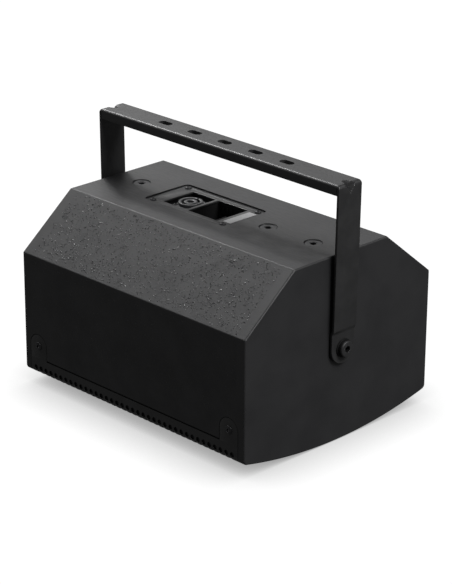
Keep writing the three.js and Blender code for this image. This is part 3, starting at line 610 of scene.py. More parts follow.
CAD_FINISHES = {
    "cabinet_paint": PAINT_SATIN,
    "raw_plywood": birch_ply("raw_plywood"),
    "powder_coat": POWDER,
    "black_steel": BLACK_STEEL,
    "zinc_steel": ZINC,
    "cast_alloy": cast_alloy("cast_alloy"),
    "black_plastic": PLASTIC,
    "label_film": label_film("label_film"),
    "foam": FOAM,
    "rubber": RUBBER,
    "paper_cone": pulp_cone("paper_cone"),
    "spider_cloth": woven_cloth("spider_cloth", (0.20, 0.12, 0.04), (0.46, 0.32, 0.14), 1.2),
    "copper_wire": copper_winding("copper_wire"),
    "ferrite": sintered_ferrite("ferrite"),
    "treble_dome": bright_steel("treble_dome", (0.62, 0.63, 0.64)),
    "circuit_board": circuit_board("circuit_board"),
    "resistor_body": moulded_plastic("resistor_body", (0.60, 0.58, 0.53), (0.6, 0.8)),
    "cable_sheath": RUBBER,
}


def dress_cad_nodes():
    """Gives every CAD node the procedural finish of its slot."""
    for entry in frame["record"]["subparts"]:
        node = frame["nodes"][entry["node"]]
        material = CAD_FINISHES[entry["material_slot"]]
        if not node.material_slots:
            node.data.materials.append(material)
        for holder in node.material_slots:
            holder.material = material


# ---------------------------------------------------------------------------------------------
# Cabinet: one rounded solid, cut into its boards
# ---------------------------------------------------------------------------------------------

ARC_RADIUS = (HALF_DEPTH**2 + CORNER_RISE**2) / (2 * CORNER_RISE)
CORNER_Y = HALF_DEPTH - CORNER_RADIUS
CORNER_Z = ARC_RADIUS - math.sqrt((ARC_RADIUS - CORNER_RADIUS) ** 2 - CORNER_Y**2)
ARC_HALF_ANGLE = math.degrees(math.atan2(CORNER_Y, ARC_RADIUS - CORNER_Z))
BEVEL_NORMAL = Vector((HEIGHT - BEVEL_FOOT, HALF_DEPTH - TOP_HALF)).normalized()
BEVEL_DEGREES = math.degrees(math.atan2(BEVEL_NORMAL.y, BEVEL_NORMAL.x))
BEVEL_REACH = BEVEL_NORMAL.dot(Vector((TOP_HALF, HEIGHT)))
BEVEL_MIDDLE = Vector(((TOP_HALF + HALF_DEPTH) / 2, (HEIGHT + BEVEL_FOOT) / 2))
BEVEL_SLOPE = math.hypot(HALF_DEPTH - TOP_HALF, HEIGHT - BEVEL_FOOT)


def bevel_head(inset):
    z = HEIGHT - inset
    return (BEVEL_REACH - inset - BEVEL_NORMAL.y * z) / BEVEL_NORMAL.x, z


def bevel_toe(inset):
    y = HALF_DEPTH - inset
    return y, (BEVEL_REACH - inset - BEVEL_NORMAL.x * y) / BEVEL_NORMAL.y


def section_samples(inset, arc_steps=64, corner_steps=8, edge_steps=5):
    """(core point, outward normal) all round the cabinet's section, with the core drawn in by inset."""

    def fan(point, start, end, steps):
        return [(point, start + (end - start) * i / steps) for i in range(steps + 1)]

    right = []
    corner_start = ARC_HALF_ANGLE - 90
    for i in range(1, corner_steps + 1):
        angle = corner_start * (1 - i / corner_steps)
        reach = CORNER_RADIUS - inset
        turn = math.radians(angle)
        right.append(((CORNER_Y + reach * math.cos(turn), CORNER_Z + reach * math.sin(turn)), angle))
    right += fan(bevel_toe(inset), 0, BEVEL_DEGREES, edge_steps)
    right += fan(bevel_head(inset), BEVEL_DEGREES, 90, edge_steps)
    left = [((-y, z), 180 - angle) for (y, z), angle in reversed(right)]
    bottom = []
    for i in range(arc_steps + 1):
        angle = math.radians(ARC_HALF_ANGLE * (2 * i / arc_steps - 1))
        reach = ARC_RADIUS - inset
        point = (reach * math.sin(angle), ARC_RADIUS - reach * math.cos(angle))
        bottom.append((point, math.degrees(angle) - 90))
    samples = bottom + right + left
    return [(Vector(p), Vector((math.cos(math.radians(a)), math.sin(math.radians(a))))) for p, a in samples]


CORE = section_samples(EDGE_RADIUS)


def rounded_cabinet():
    """The whole outside of the cabinet as one solid with every edge rounded."""
    turns = [math.radians(90 * i / 5) for i in range(6)]
    ends = [(HALF_LENGTH - EDGE_RADIUS * (1 - math.sin(t)), EDGE_RADIUS * math.cos(t)) for t in turns]
    stations = [(-x, d) for x, d in reversed(ends)] + ends
    bm = bmesh.new()
    rings = [[bm.verts.new((x, *(p + n * d))) for p, n in CORE] for x, d in stations]
    count = len(CORE)
    for low, high in zip(rings, rings[1:]):
        for i in range(count):
            j = (i + 1) % count
            bm.faces.new((low[i], low[j], high[j], high[i]))
    bm.faces.new(rings[0])
    bm.faces.new(rings[-1])
    bmesh.ops.remove_doubles(bm, verts=bm.verts, dist=0.002)
    bmesh.ops.recalc_face_normals(bm, faces=bm.faces)
    return bm


def carved(name, solid, planes):
    """What is left of a convex solid behind every plane, each a point and an outward normal."""
    bm = solid.copy()
    for point, normal in planes:
        found = bmesh.ops.bisect_plane(
            bm, geom=bm.verts[:] + bm.edges[:] + bm.faces[:], dist=0.0005,
            plane_co=point, plane_no=normal, clear_outer=True)
        edges = [e for e in found["geom_cut"] if isinstance(e, bmesh.types.BMEdge)]
        bmesh.ops.edgeloop_fill(bm, edges=edges)
    return object_from_bmesh(name, bm)


def round_normals(obj):
    """Shades the outside exactly as the rounded solid curves, and every cut face flat."""
    mesh = obj.data
    points = np.array([p for p, _ in CORE])
    ends = np.roll(points, -1, axis=0)
    spans = ends - points
    lengths = np.maximum((spans**2).sum(1), 1e-9)
    co = np.array([v.co for v in mesh.vertices])
    flat = co[:, None, 1:] - points[None]
    share = np.clip((flat * spans).sum(2) / lengths, 0, 1)
    nearest = points[None] + spans[None] * share[..., None]
    gaps = ((co[:, None, 1:] - nearest) ** 2).sum(2)
    pick = gaps.argmin(1)
    offset = co[:, 1:] - nearest[np.arange(len(co)), pick]
    inside = HALF_LENGTH - EDGE_RADIUS
    over = co[:, 0] - np.clip(co[:, 0], -inside, inside)
    normals = np.column_stack([over, offset])
    reach = np.linalg.norm(normals, axis=1)
    outer = np.abs(reach - EDGE_RADIUS) < 0.06
    normals /= np.maximum(reach, 1e-9)[:, None]
    custom = []
    for polygon in mesh.polygons:
        face = np.array(polygon.normal)
        for index in polygon.vertices:
            fits = outer[index] and normals[index] @ face > 0.9
            custom.append(tuple(normals[index] if fits else face))
    mesh.shade_smooth()
    mesh.normals_split_custom_set(custom)
    return obj


def tab_outline(margin, foot):
    half = TAB_HALF + margin
    return [(-half, foot)] + [(half, foot)] + arc(0, TAB_Z, half, 0, 180, 20)


def rebate_cutters():
    """What the grille's rebate takes out of the walls and cheeks."""
    inner = [p + n * (EDGE_RADIUS - REBATE_DEPTH) for p, n in CORE]
    inner = [p for p in inner if p.y < REBATE_TOP - 1]
    right = sorted((p for p in inner if p.x >= 0), key=lambda p: math.atan2(p.x, 60 - p.y))
    left = [Vector((-p.x, p.y)) for p in reversed(right)]
    edge = HALF_DEPTH - REBATE_DEPTH
    outline = [(-edge, REBATE_TOP)] + [tuple(p) for p in left + right] + [(edge, REBATE_TOP)]
    past = HALF_DEPTH + 8
    outline += [(past, REBATE_TOP), (past, -8), (-past, -8), (-past, REBATE_TOP)]
    cutters = [prism("rebate", outline, -GRILLE_HALF - TAB_GAP, GRILLE_HALF + TAB_GAP, "X")]
    for end in (-1, 1):
        for side in (-1, 1):
            shape = [(x + end * TAB_X, z) for x, z in tab_outline(TAB_GAP, FLANGE_TOP - 2)]
            reach = sorted((side * edge, side * (HALF_DEPTH + 8)))
            cutters.append(prism("tab", shape, *reach, "Y"))
    return cutters


def mitre(outer, inner):
    """The plane through a section corner and its inner corner, as a point and a normal."""
    run = (Vector(outer) - Vector(inner)).normalized()
    return (0, *outer), (0, run.y, -run.x)


def mirrored_plane(plane):
    (x, y, z), (nx, ny, nz) = plane
    return (x, -y, z), (nx, -ny, nz)


def flipped(plane):
    point, normal = plane
    return point, tuple(-c for c in normal)


def build_cabinet():
    solid = rounded_cabinet()
    ends = [((INNER_HALF, 0, 0), (1, 0, 0)), ((-INNER_HALF, 0, 0), (-1, 0, 0))]
    head = mitre(bevel_head(0), bevel_head(BOARD))
    toe = mitre(bevel_toe(0), bevel_toe(BOARD))
    inner_bevel = ((0, *bevel_head(BOARD)), (0, -BEVEL_NORMAL.x, -BEVEL_NORMAL.y))
    inner_wall = ((0, HALF_DEPTH - BOARD, 0), (0, -1, 0))
    foot = ((0, 0, WALL_FOOT), (0, 0, -1))
    boards = {
        "back_panel": ends + [((0, 0, HEIGHT - BOARD), (0, 0, -1)), head, mirrored_plane(head)],
        "rear_bevel_panel": ends + [inner_bevel, flipped(head), toe],
        "rear_wall_panel": ends + [inner_wall, flipped(toe), foot],
    }
    for name in ("bevel", "wall"):
        boards[f"front_{name}_panel"] = [mirrored_plane(p) for p in boards[f"rear_{name}_panel"]]
    boards["left_end_cheek"] = [((-INNER_HALF, 0, 0), (1, 0, 0))]
    boards["right_end_cheek"] = [((INNER_HALF, 0, 0), (-1, 0, 0))]
    pieces = {name: carved(f"{name}_shell", solid, planes) for name, planes in boards.items()}
    solid.free()
    for name in ("rear_wall_panel", "front_wall_panel", "left_end_cheek", "right_end_cheek"):
        cut(pieces[name], *rebate_cutters())
    cut(pieces["back_panel"], *panel_cutters())
    for end, name in ((-1, "left_end_cheek"), (1, "right_end_cheek")):
        bore = prism("bore", circle(0, PIVOT_Z, 8.3, 32), end * HALF_LENGTH - 20, end * HALF_LENGTH + 20, "X")
        cut(pieces[name], bore)
    for obj in pieces.values():
        round_normals(obj)
    bare_faces = {}
    for side in ("front", "rear"):
        for kind, beads in (("bevel", bevel_beads), ("wall", wall_beads)):
            name = f"{side}_{kind}_panel"
            bare_faces[name] = len(pieces[name].data.polygons)
            pieces[name] = with_beads(pieces[name], beads(side))
    paints = {"bevel": PAINT_BEADED, "wall": PAINT_WALL}
    for name, obj in pieces.items():
        paint = next((p for key, p in paints.items() if key in name), PAINT_SATIN)
        publish(obj, "cabinet", "cabinet_paint", paint, name)
        if name in bare_faces:
            obj.data.materials.append(PAINT_DROPLETS)
            for polygon in obj.data.polygons[bare_faces[name]:]:
                polygon.material_index = 1


def panel_cutters():
    """The routed pocket, the tray's cut-out and the three countersinks."""
    half = PLATE_HIGH.x - PLATE_X + 0.55
    side = PLATE_HIGH.y + 0.55
    outline = rounded_rectangle(PLATE_X - half, -side, PLATE_X + half, side, 5.8, 8)
    pocket = prism("pocket", outline, HEIGHT - 4.8, HEIGHT + 5)
    low = (DISH_LOW.x - 0.3, DISH_LOW.y - 0.3, HEIGHT - BOARD - 5)
    opening = block("opening", low, (DISH_HIGH.x + 0.3, DISH_HIGH.y + 0.3, HEIGHT + 5))
    cutters = [pocket, opening]
    profile = [(0, -17), (8.3, -17), (8.3, -5.3), (5.6, -5.3), (5.6, -4.5), (9.75, -0.4), (9.95, 1), (0, 1)]
    for x in INSERT_XS:
        cutters.append(shifted(lathe("countersink", profile, 48), x, 0, HEIGHT))
    return cutters


# ---------------------------------------------------------------------------------------------
# Paint droplets
# ---------------------------------------------------------------------------------------------


def bead_mesh(radius, height, stretch, steps=6):
    """One droplet as rings from its rim to its crown, with its underside closed."""
    rings = [(1.0, -0.10), (0.82, 0.12), (0.58, 0.52), (0.30, 0.88)]
    verts, faces = [], []
    for share, rise in rings:
        for i in range(steps):
            angle = 2 * math.pi * i / steps
            x = share * radius * stretch * math.cos(angle)
            y = share * radius * math.sin(angle)
            verts.append((x, y, rise * height))
    verts += [(0, 0, height), (0, 0, -0.10 * height)]
    for ring in range(len(rings) - 1):
        base = ring * steps
        for i in range(steps):
            j = (i + 1) % steps
            faces.append((base + i, base + j, base + steps + j, base + steps + i))
    last = (len(rings) - 1) * steps
    crown, floor = len(verts) - 2, len(verts) - 1
    for i in range(steps):
        j = (i + 1) % steps
        faces.append((last + i, last + j, crown))
        faces.append((j, i, floor))
    return verts, faces


def scatter(count, length, width, radius, height, seed, fade=None):
    """Droplets over a flat rectangle, some of them run together into short worms."""
    draw = random.Random(seed)
    verts, faces = [], []

    def add(x, y, size, rise, stretch, turn):
        cos, sin = math.cos(turn), math.sin(turn)
        points, polygons = bead_mesh(size, rise, stretch)
        base = len(verts)
        verts.extend((x + cos * a - sin * b, y + sin * a + cos * b, c) for a, b, c in points)
        faces.extend(tuple(base + i for i in polygon) for polygon in polygons)

    for _ in range(count):
        x = draw.uniform(-length / 2, length / 2)
        y = draw.uniform(-width / 2, width / 2)
        size = radius * draw.lognormvariate(0, 0.26)
        turn = draw.uniform(0, math.pi)
        rise = height * draw.uniform(0.6, 1.25) * min(1.0, size / radius + 0.2)
        worm = draw.random()
        stay = draw.random()
        if fade is not None and stay > fade(x, y):
            continue
        add(x, y, size, rise, draw.uniform(1.0, 1.5), turn)
        if worm < 0.12:
            reach = size * draw.uniform(1.0, 1.7)
            add(x + reach * math.cos(turn), y + reach * math.sin(turn), size * 0.85, rise * 0.9, 1.2, turn)
    return verts, faces


def face_matrix(origin, normal, along=(1, 0, 0)):
    """Places a pattern drawn in (x, y) with +Z out of the surface on a face of the cabinet."""
    n = Vector(normal).normalized()
    a = Vector(along).normalized()
    b = n.cross(a)
    return Matrix.Translation(origin) @ Matrix((a, b, n)).transposed().to_4x4()


BEAD_SINK = 0.02


def bevel_beads(side):
    sign = {"front": -1, "rear": 1}[side]

    def fade(x, y):
        edge = min(1.0, (BEVEL_SLOPE / 2 - abs(y)) / 9)
        return (0.55 + 0.45 * min(1.0, (x + HALF_LENGTH) / 60)) * (0.35 + 0.65 * edge)

    beads = scatter(3000, 2 * INNER_HALF - 2, BEVEL_SLOPE - 5, 0.62, 0.46, SEED + sign, fade)
    normal = Vector((0, sign * BEVEL_NORMAL.x, BEVEL_NORMAL.y))
    origin = Vector((0, sign * BEVEL_MIDDLE.x, BEVEL_MIDDLE.y)) - normal * BEAD_SINK
    return beads, face_matrix(origin, normal)


def wall_beads(side):
    sign = {"front": -1, "rear": 1}[side]
    low, high = TAB_Z + TAB_HALF + 2, BEVEL_FOOT - 3
    beads = scatter(420, 2 * INNER_HALF - 2, high - low, 0.55, 0.12, SEED + 5 + sign)
    origin = Vector((0, sign * (HALF_DEPTH - BEAD_SINK), (low + high) / 2))
    return beads, face_matrix(origin, (0, sign, 0))


def with_beads(panel, placed_beads):
    """Adds the droplets to a panel's mesh and keeps the panel's own shading."""
    (verts, faces), matrix = placed_beads
    beads = object_from("beads", [matrix @ Vector(v) for v in verts], faces)
    beads.data.shade_smooth()
    bead_normals = [tuple(n.vector) for n in beads.data.corner_normals]
    panel_normals = [tuple(n.vector) for n in panel.data.corner_normals]
    base = len(panel.data.vertices)
    all_verts = [tuple(v.co) for v in panel.data.vertices] + [tuple(v.co) for v in beads.data.vertices]
    all_faces = [tuple(p.vertices) for p in panel.data.polygons]
    all_faces += [tuple(base + i for i in p.vertices) for p in beads.data.polygons]
    name = panel.name
    bpy.data.objects.remove(panel)
    bpy.data.objects.remove(beads)
    whole = object_from(name, all_verts, all_faces)
    whole.data.shade_smooth()
    whole.data.normals_split_custom_set(panel_normals + bead_normals)
    return whole


# ---------------------------------------------------------------------------------------------
# Grille
# ---------------------------------------------------------------------------------------------

BEND_LENGTH = CORNER_RADIUS * math.radians(90 - ARC_HALF_ANGLE)
FACE_LENGTH = 2 * ARC_RADIUS * math.radians(ARC_HALF_ANGLE)


def grille_point(s):
    """(y, z) and outward normal at arc length s from the start of the front bend, s may be negative."""
    total = 2 * BEND_LENGTH + FACE_LENGTH
    mirror = s > total / 2
    t = total - s if mirror else s
    if t < 0:
        y, z, angle = -HALF_DEPTH, CORNER_Z - t, 180.0
    elif t < BEND_LENGTH:
        angle = 180 + math.degrees(t / CORNER_RADIUS)
        y = -CORNER_Y + CORNER_RADIUS * math.cos(math.radians(angle))
        z = CORNER_Z + CORNER_RADIUS * math.sin(math.radians(angle))
    else:
        turn = (t - BEND_LENGTH) / ARC_RADIUS - math.radians(ARC_HALF_ANGLE)
        y = ARC_RADIUS * math.sin(turn)
        z = ARC_RADIUS * (1 - math.cos(turn))
        angle = math.degrees(turn) - 90
    normal = Vector((math.cos(math.radians(angle)), math.sin(math.radians(angle))))
    if mirror:
        y, normal.x = -y, -normal.x
    return Vector((y, z)), normal


def perforated_sheet():
    """The grille's outer skin with staggered round holes, as a grid that is opened block by block."""
    total = 2 * BEND_LENGTH + FACE_LENGTH
    half_row = (total - 2 * FIRST_ROW) / (HOLE_ROWS - 1) / 2
    quarter = HOLE_PITCH / 4
    columns = HOLES_IN_ROW * 4
    rows = [FIRST_ROW + half_row * (j - 1) for j in range(2 * HOLE_ROWS + 1)]
    flange = FLANGE_TOP - CORNER_Z
    rows = [-flange, -flange + 2.0] + rows + [total + flange - 2.0, total + flange]
    lines = [(i - columns / 2) * quarter for i in range(columns + 1)]
    lines = [-GRILLE_HALF, -GRILLE_HALF + 2.0] + lines + [GRILLE_HALF - 2.0, GRILLE_HALF]
    bm = bmesh.new()

    def vertex(x, s):
        point, normal = grille_point(s)
        return bm.verts.new((x, *(point - normal * SHEET / 2)))

    grid = {}

    def corner(i, j):
        if (i, j) not in grid:
            grid[i, j] = vertex(lines[i], rows[j])
        return grid[i, j]

    taken = set()
    for row in range(HOLE_ROWS):
        j = 2 + 2 * row
        start = 2 + 2 * (row % 2)
        for hole in range(HOLES_IN_ROW - row % 2):
            i = start + 4 * hole
            border = [(i, j + 1), (i, j), (i + 1, j), (i + 2, j), (i + 3, j), (i + 4, j), (i + 4, j + 1)]
            border += [(i + 4, j + 2), (i + 3, j + 2), (i + 2, j + 2), (i + 1, j + 2), (i, j + 2)]
            middle_x, middle_s = lines[i + 2], rows[j + 1]
            rim = []
            for k in range(len(border)):
                angle = math.pi + 2 * math.pi * k / len(border)
                across = middle_x + HOLE_RADIUS * math.cos(angle)
                along = middle_s + HOLE_RADIUS * math.sin(angle)
                rim.append(vertex(across, along))
            for k in range(len(border)):
                m = (k + 1) % len(border)
                bm.faces.new((corner(*border[k]), corner(*border[m]), rim[m], rim[k]))
            taken.update((i + a, j + b) for a in range(4) for b in range(2))
    for i in range(len(lines) - 1):
        for j in range(len(rows) - 1):
            if (i, j) not in taken:
                bm.faces.new((corner(i, j), corner(i + 1, j), corner(i + 1, j + 1), corner(i, j + 1)))
    bmesh.ops.recalc_face_normals(bm, faces=bm.faces)
    mesh = bpy.data.meshes.new("grille_sheet")
    bm.to_mesh(mesh)
    bm.free()
    return new_object("grille_sheet", mesh)


def build_grille():
    sheet = perforated_sheet()
    thick = sheet.modifiers.new("thickness", "SOLIDIFY")
    thick.thickness = SHEET
    thick.offset = 0
    bake_modifiers(sheet)
    smooth_shaded(sheet, 40)
    tabs = []
    for end in (-1, 1):
        for side in (-1, 1):
            outline = tab_outline(0, FLANGE_TOP - 0.4)
            tab = plate("tab", [outline], -SHEET, 0, 0.35)
            turn = face_matrix((end * TAB_X, side * HALF_DEPTH, 0), (0, side, 0), (1, 0, 0))
            if side > 0:
                moved(tab, Matrix.Scale(-1, 4, (0, 1, 0)))
                tab.data.flip_normals()
            tabs.append(smooth_shaded(moved(tab, turn)))
    grille = joined("grille_perforated", [sheet, *tabs])
    publish(grille, "cabinet", "powder_coat", POWDER, "front_grille")


def build_foam():
    """Open-cell foam close behind the sheet, a little uneven as glued foam is."""
    low, high = box_mm("grille_foam")
    reach = math.degrees(math.asin(high.y / ARC_RADIUS))
    across, along = 60, 76
    draw = random.Random(SEED)
    bm = bmesh.new()
    layers = []
    for inset in (SHEET + 0.3, SHEET + 4.2):
        layer = []
        for j in range(across + 1):
            angle = math.radians(reach * (2 * j / across - 1))
            row = []
            for i in range(along + 1):
                x = low.x + (high.x - low.x) * i / along
                ripple = 0.0 if inset < 3 else draw.uniform(-0.25, 0.25)
                radius = ARC_RADIUS - inset - ripple
                row.append(bm.verts.new((x, radius * math.sin(angle), ARC_RADIUS - radius * math.cos(angle))))
            layer.append(row)
        layers.append(layer)
    for layer in layers:
        for j in range(across):
            for i in range(along):
                bm.faces.new((layer[j][i], layer[j][i + 1], layer[j + 1][i + 1], layer[j + 1][i]))
    rim = [(j, 0) for j in range(across)] + [(across, i) for i in range(along)]
    rim += [(j, along) for j in range(across, 0, -1)] + [(0, i) for i in range(along, 0, -1)]
    for (j0, i0), (j1, i1) in zip(rim, rim[1:] + rim[:1]):
        bm.faces.new((layers[0][j0][i0], layers[0][j1][i1], layers[1][j1][i1], layers[1][j0][i0]))
    foam = smooth_shaded(object_from_bmesh("grille_foam_sheet", bm), 50)
    publish(foam, "cabinet", "foam", FOAM, "grille_foam")


# ---------------------------------------------------------------------------------------------
# Fasteners
# ---------------------------------------------------------------------------------------------


def button_screw(name, radius, height, shank, length, socket, star=False, flat_share=0.56, floor_share=0.3):
    """A domed screw standing on z = 0, with its shank below."""
    crown = radius * flat_share
    floor = height * floor_share
    dome = []
    for i in range(9):
        turn = math.radians(90 * i / 8)
        dome.append((crown + (radius - crown) * math.cos(turn), height * (0.22 + 0.78 * math.sin(turn))))
    profile = [(0, -length), (shank - 0.5, -length), (shank, -length + 0.5), (shank, 0)]
    profile += [(radius - 0.15, 0), (radius, 0.15)]
    profile += dome + [(0, height)]
    screw = lathe(name, profile)
    tool = star_socket(socket, floor, height + 1) if star else hexagon_socket(socket, floor, height + 1)
    return smooth_shaded(bevelled(cut(screw, tool), 0.12, 1, 50))


def build_grille_screws():
    for side_name, side in (("front", -1), ("rear", 1)):
        for end_name, end in (("left", -1), ("right", 1)):
            node = f"grille_screw_{side_name}_{end_name}"
            screw = button_screw(f"{node}_head", 4.7, 1.35, 2.1, 10, 2.1, star=True)
            turned_about(screw, 13 + 31 * end + 17 * side, "Z")
            turned_about(screw, -90 * side, "X")
            shifted(screw, end * TAB_X, side * (HALF_DEPTH + 0.05), TAB_Z)
            publish(screw, "cabinet", "black_steel", BLACK_STEEL, node)


def build_driver_screws():
    """Eight screws through the driver's rim into the baffle, seen only with the grille off."""
    low, _ = box_mm("woofer_basket")
    heads = []
    for i in range(8):
        turn = math.radians(22.5 + 45 * i)
        screw = turned_about(button_screw("rim_screw", 3.2, 2.4, 1.6, 3, 3), 180, "X")
        heads.append(shifted(screw, 100.4 * math.cos(turn), 100.4 * math.sin(turn), low.z))
    screws = joined("driver_rim_screws", heads)
    publish(smooth_shaded(screws), "cabinet", "black_steel", BLACK_STEEL)


def build_plugs():
    for i, x in enumerate(INSERT_XS):
        node = f"insert_plug_{i + 1}"
        _, high = box_mm(node)
        head = 8.9
        profile = [(0, -22), (4.5, -22), (5, -21.5), (5, -head + 5), (head, -0.35)]
        profile += [(head - 0.35, 0), (4.6, 0), (4.2, -0.35), (0, -0.35)]
        plug = cut(lathe(f"{node}_head", profile), hexagon_socket(6, -4.2, 1))
        turned_about(smooth_shaded(bevelled(plug, 0.15, 1, 50)), 20 + 25 * i, "Z")
        shifted(plug, x, 0, high.z)
        publish(plug, "cabinet", "black_steel", BLACK_STEEL, node)


BOLT_HEAD = 4.6               # height of the drawn head, 1 mm more than the frame's own head
FRAME_BOLT_HEAD = 3.6


def build_pivots():
    # The steel washer is drawn near-black, darker than black steel: painted shade
    washers = (
        ("steel", 10, "black_steel", PAINTED_SHADE_BLACK),
        ("friction", 12, "rubber", RUBBER),
    )
    for end_name, end in (("left", -1), ("right", 1)):
        low, high = box_mm(f"pivot_bolt_{end_name}")
        base = high.x - FRAME_BOLT_HEAD if end > 0 else low.x + FRAME_BOLT_HEAD
        bolt = button_screw(
            f"pivot_bolt_{end_name}_head", 8.75, BOLT_HEAD, 5, 26, 6.6, flat_share=0.86, floor_share=-0.6)
        turned_about(bolt, 12, "Z")
        turned_about(bolt, 90 * end, "Y")
        shifted(bolt, base, 0, PIVOT_Z)
        publish(bolt, "cabinet", "black_steel", BOLT_BLACK, f"pivot_bolt_{end_name}")
        # The head's side walls take the near-black material as painted shade; the face keeps the bolt's own
        # black
        bolt.data.materials.append(PAINTED_SHADE_BLACK)
        for polygon in bolt.data.polygons:
            if abs(polygon.normal.x) < 0.25:
                polygon.material_index = 1
        for kind, outer, slot, material in washers:
            node = f"{kind}_washer_{end_name}"
            low, high = box_mm(node)
            thick = high.x - low.x
            edge = 0.2
            ring = [(outer - edge, 0), (outer, edge), (outer, thick - edge), (outer - edge, thick)]
            ring += [(5.5, thick), (5.5, 0)]
            washer = smooth_shaded(turned_about(lathe(f"{node}_ring", ring), 90, "Y"), 50)
            shifted(washer, low.x, 0, PIVOT_Z)
            publish(washer, "cabinet", slot, material, node)


# ---------------------------------------------------------------------------------------------
# Connector plate
# ---------------------------------------------------------------------------------------------


def build_plate():
    border = rounded_rectangle(PLATE_LOW.x, PLATE_LOW.y, PLATE_HIGH.x, PLATE_HIGH.y, 5, 8)
    windows = [rounded_rectangle(*window, 0.8, 3) for window in (INPUT_WINDOW, LINK_WINDOW)]
    reach_x, reach_y = PLATE_SCREWS
    screws = [circle(PLATE_X + end * reach_x, side * reach_y, 2.2, 20) for end in (-1, 1) for side in (-1, 1)]
    sheet = plate("connector_plate_sheet", [border, *windows, *screws], PLATE_LOW.z, PLATE_TOP, 0.3)
    publish(smooth_shaded(sheet), "cabinet", "powder_coat", POWDER, "connector_plate")
    for i in range(4):
        node = f"plate_screw_{i + 1}"
        low, high = box_mm(node)
        screw = button_screw(f"{node}_head", 3.5, 1.45, 1.9, 9, 1.9, star=True)
        turned_about(screw, 11 + 23 * i, "Z")
        shifted(screw, (low.x + high.x) / 2, (low.y + high.y) / 2, PLATE_TOP + 0.02)
        publish(screw, "cabinet", "black_steel", BLACK_STEEL, node)
    low, high = box_mm("label_strip")
    outline = rounded_rectangle(low.x, low.y, high.x, high.y, 0.8, 4)
    label = plate("label_film_strip", [outline], PLATE_TOP + 0.01, PLATE_TOP + 0.31, 0.1)
    publish(smooth_shaded(label), "cabinet", "label_film", CAD_FINISHES["label_film"], "label_strip")


def build_dish():
    low, high = DISH_LOW, DISH_HIGH
    wall = 1.8
    divider = (INPUT_WINDOW[2] + LINK_WINDOW[0]) / 2
    inner = high.y - wall
    body = prism("connector_tray", rounded_rectangle(low.x, low.y, high.x, high.y, 2, 4), low.z, high.z)
    bays = [
        (low.x + wall, divider - wall / 2, INPUT_FLOOR),
        (divider + wall / 2, high.x - wall, low.z + 2.3),
    ]
    cutters = [
        prism("bay", rounded_rectangle(x0, -inner, x1, inner, 1.5, 4), floor, HEIGHT)
        for x0, x1, floor in bays
    ]
    cutters.append(block("hollow", (bays[0][0], -inner, low.z - 5), (bays[0][1], inner, INPUT_FLOOR - 2.5)))
    cutters.append(prism("hole", circle(CONNECTOR_X, 0, 12.5, 48), low.z - 5, HEIGHT))
    ribs = []
    for i in range(1, 7):
        x = LINK_WINDOW[0] + 6 * i
        ribs.append(block("rib", (x, inner - 0.8, low.z + 2), (x + 1, inner + 0.5, low.z + 22)))
    unite(cut(body, *cutters), *ribs)
    dish = smooth_shaded(bevelled(body, 0.3, 2, 50))
    # The tray is drawn in the shade-darkened plastic: painted shade inside the recess
    publish(dish, "cabinet", "black_plastic", SHADE_DARKENED_PLASTIC, "connector_dish")


def build_input_connector():
    low, high = box_mm("input_connector_shell")
    top = high.z
    foot = low.z
    floor = INPUT_FLOOR + 0.3
    flange = plate("socket_body", [rounded_rectangle(-13, -15.5, 13, 15.5, 3, 6)], floor, floor + 2.2, 0.35)
    holes = [
        prism("hole", circle(sx * 9.8, sy * 12.2, 1.6, 24), floor - 1, floor + 4)
        for sx in (-1, 1)
        for sy in (-1, 1)
    ]
    collar = lathe("collar", [
        (12, foot), (12, floor + 1), (13, floor + 1), (13, top - 0.6), (12.8, top - 0.2), (12.4, top),
        (10.4, top), (9.95, top - 0.2), (9.8, top - 0.6), (9.8, foot + 5), (7.5, foot + 5), (7.5, foot),
    ], 64)
    notches = [
        block("notch", (-1.4, 9, top - 7), (1.4, 11.6, top + 1)),
        block("notch", (-1.9, -11.4, top - 7), (1.9, -9, top + 1)),
    ]
    latch = block("latch", (11.6, -3, top - 2.2), (14, 3, top + 1))
    shell = cut(unite(flange, collar), *holes, *notches, latch)
    shifted(smooth_shaded(shell), CONNECTOR_X)
    publish(shell, "cabinet", "black_plastic", SOCKET_PLASTIC, "input_connector_shell")
    core = lathe("socket_core", [
        (0, foot + 5.3), (7.2, foot + 5.3), (7.2, top - 0.9), (7.0, top - 0.4), (6.6, top - 0.2),
        (4.2, top - 0.2), (3.7, top - 0.5), (3.6, top - 1), (3.6, foot + 15), (0, foot + 15),
    ], 48)
    slots = []
    for i in range(4):
        slot = block("slot", (5.6, -1.3, foot + 11), (8, 1.3, top - 1.6))
        slots.append(turned_about(slot, 45 + 90 * i, "Z"))
    cut(core, *slots)
    shifted(smooth_shaded(core), CONNECTOR_X)
    publish(core, "cabinet", "black_plastic", SOCKET_PLASTIC, "input_connector_core")
    contacts = []
    for i in range(4):
        leaf = bevelled(block("leaf", (5.9, -1, foot + 11.2), (6.9, 1, top - 2.2)), 0.3, 2, 40)
        contacts.append(turned_about(leaf, 45 + 90 * i, "Z"))
    leaves = shifted(smooth_shaded(joined("socket_contacts", contacts)), CONNECTOR_X)
    publish(leaves, "cabinet", "copper_wire", BRASS)
    pins = []
    for sx in (-1, 1):
        for sy in (-1, 1):
            rivet = button_screw("rivet", 2.3, 1.0, 1.4, 3, 1.3, star=True)
            pins.append(shifted(rivet, sx * 9.8, sy * 12.2, floor + 2.2))
    rivets = shifted(smooth_shaded(joined("socket_screws", pins)), CONNECTOR_X)
    publish(rivets, "cabinet", "black_steel", BLACK_STEEL)


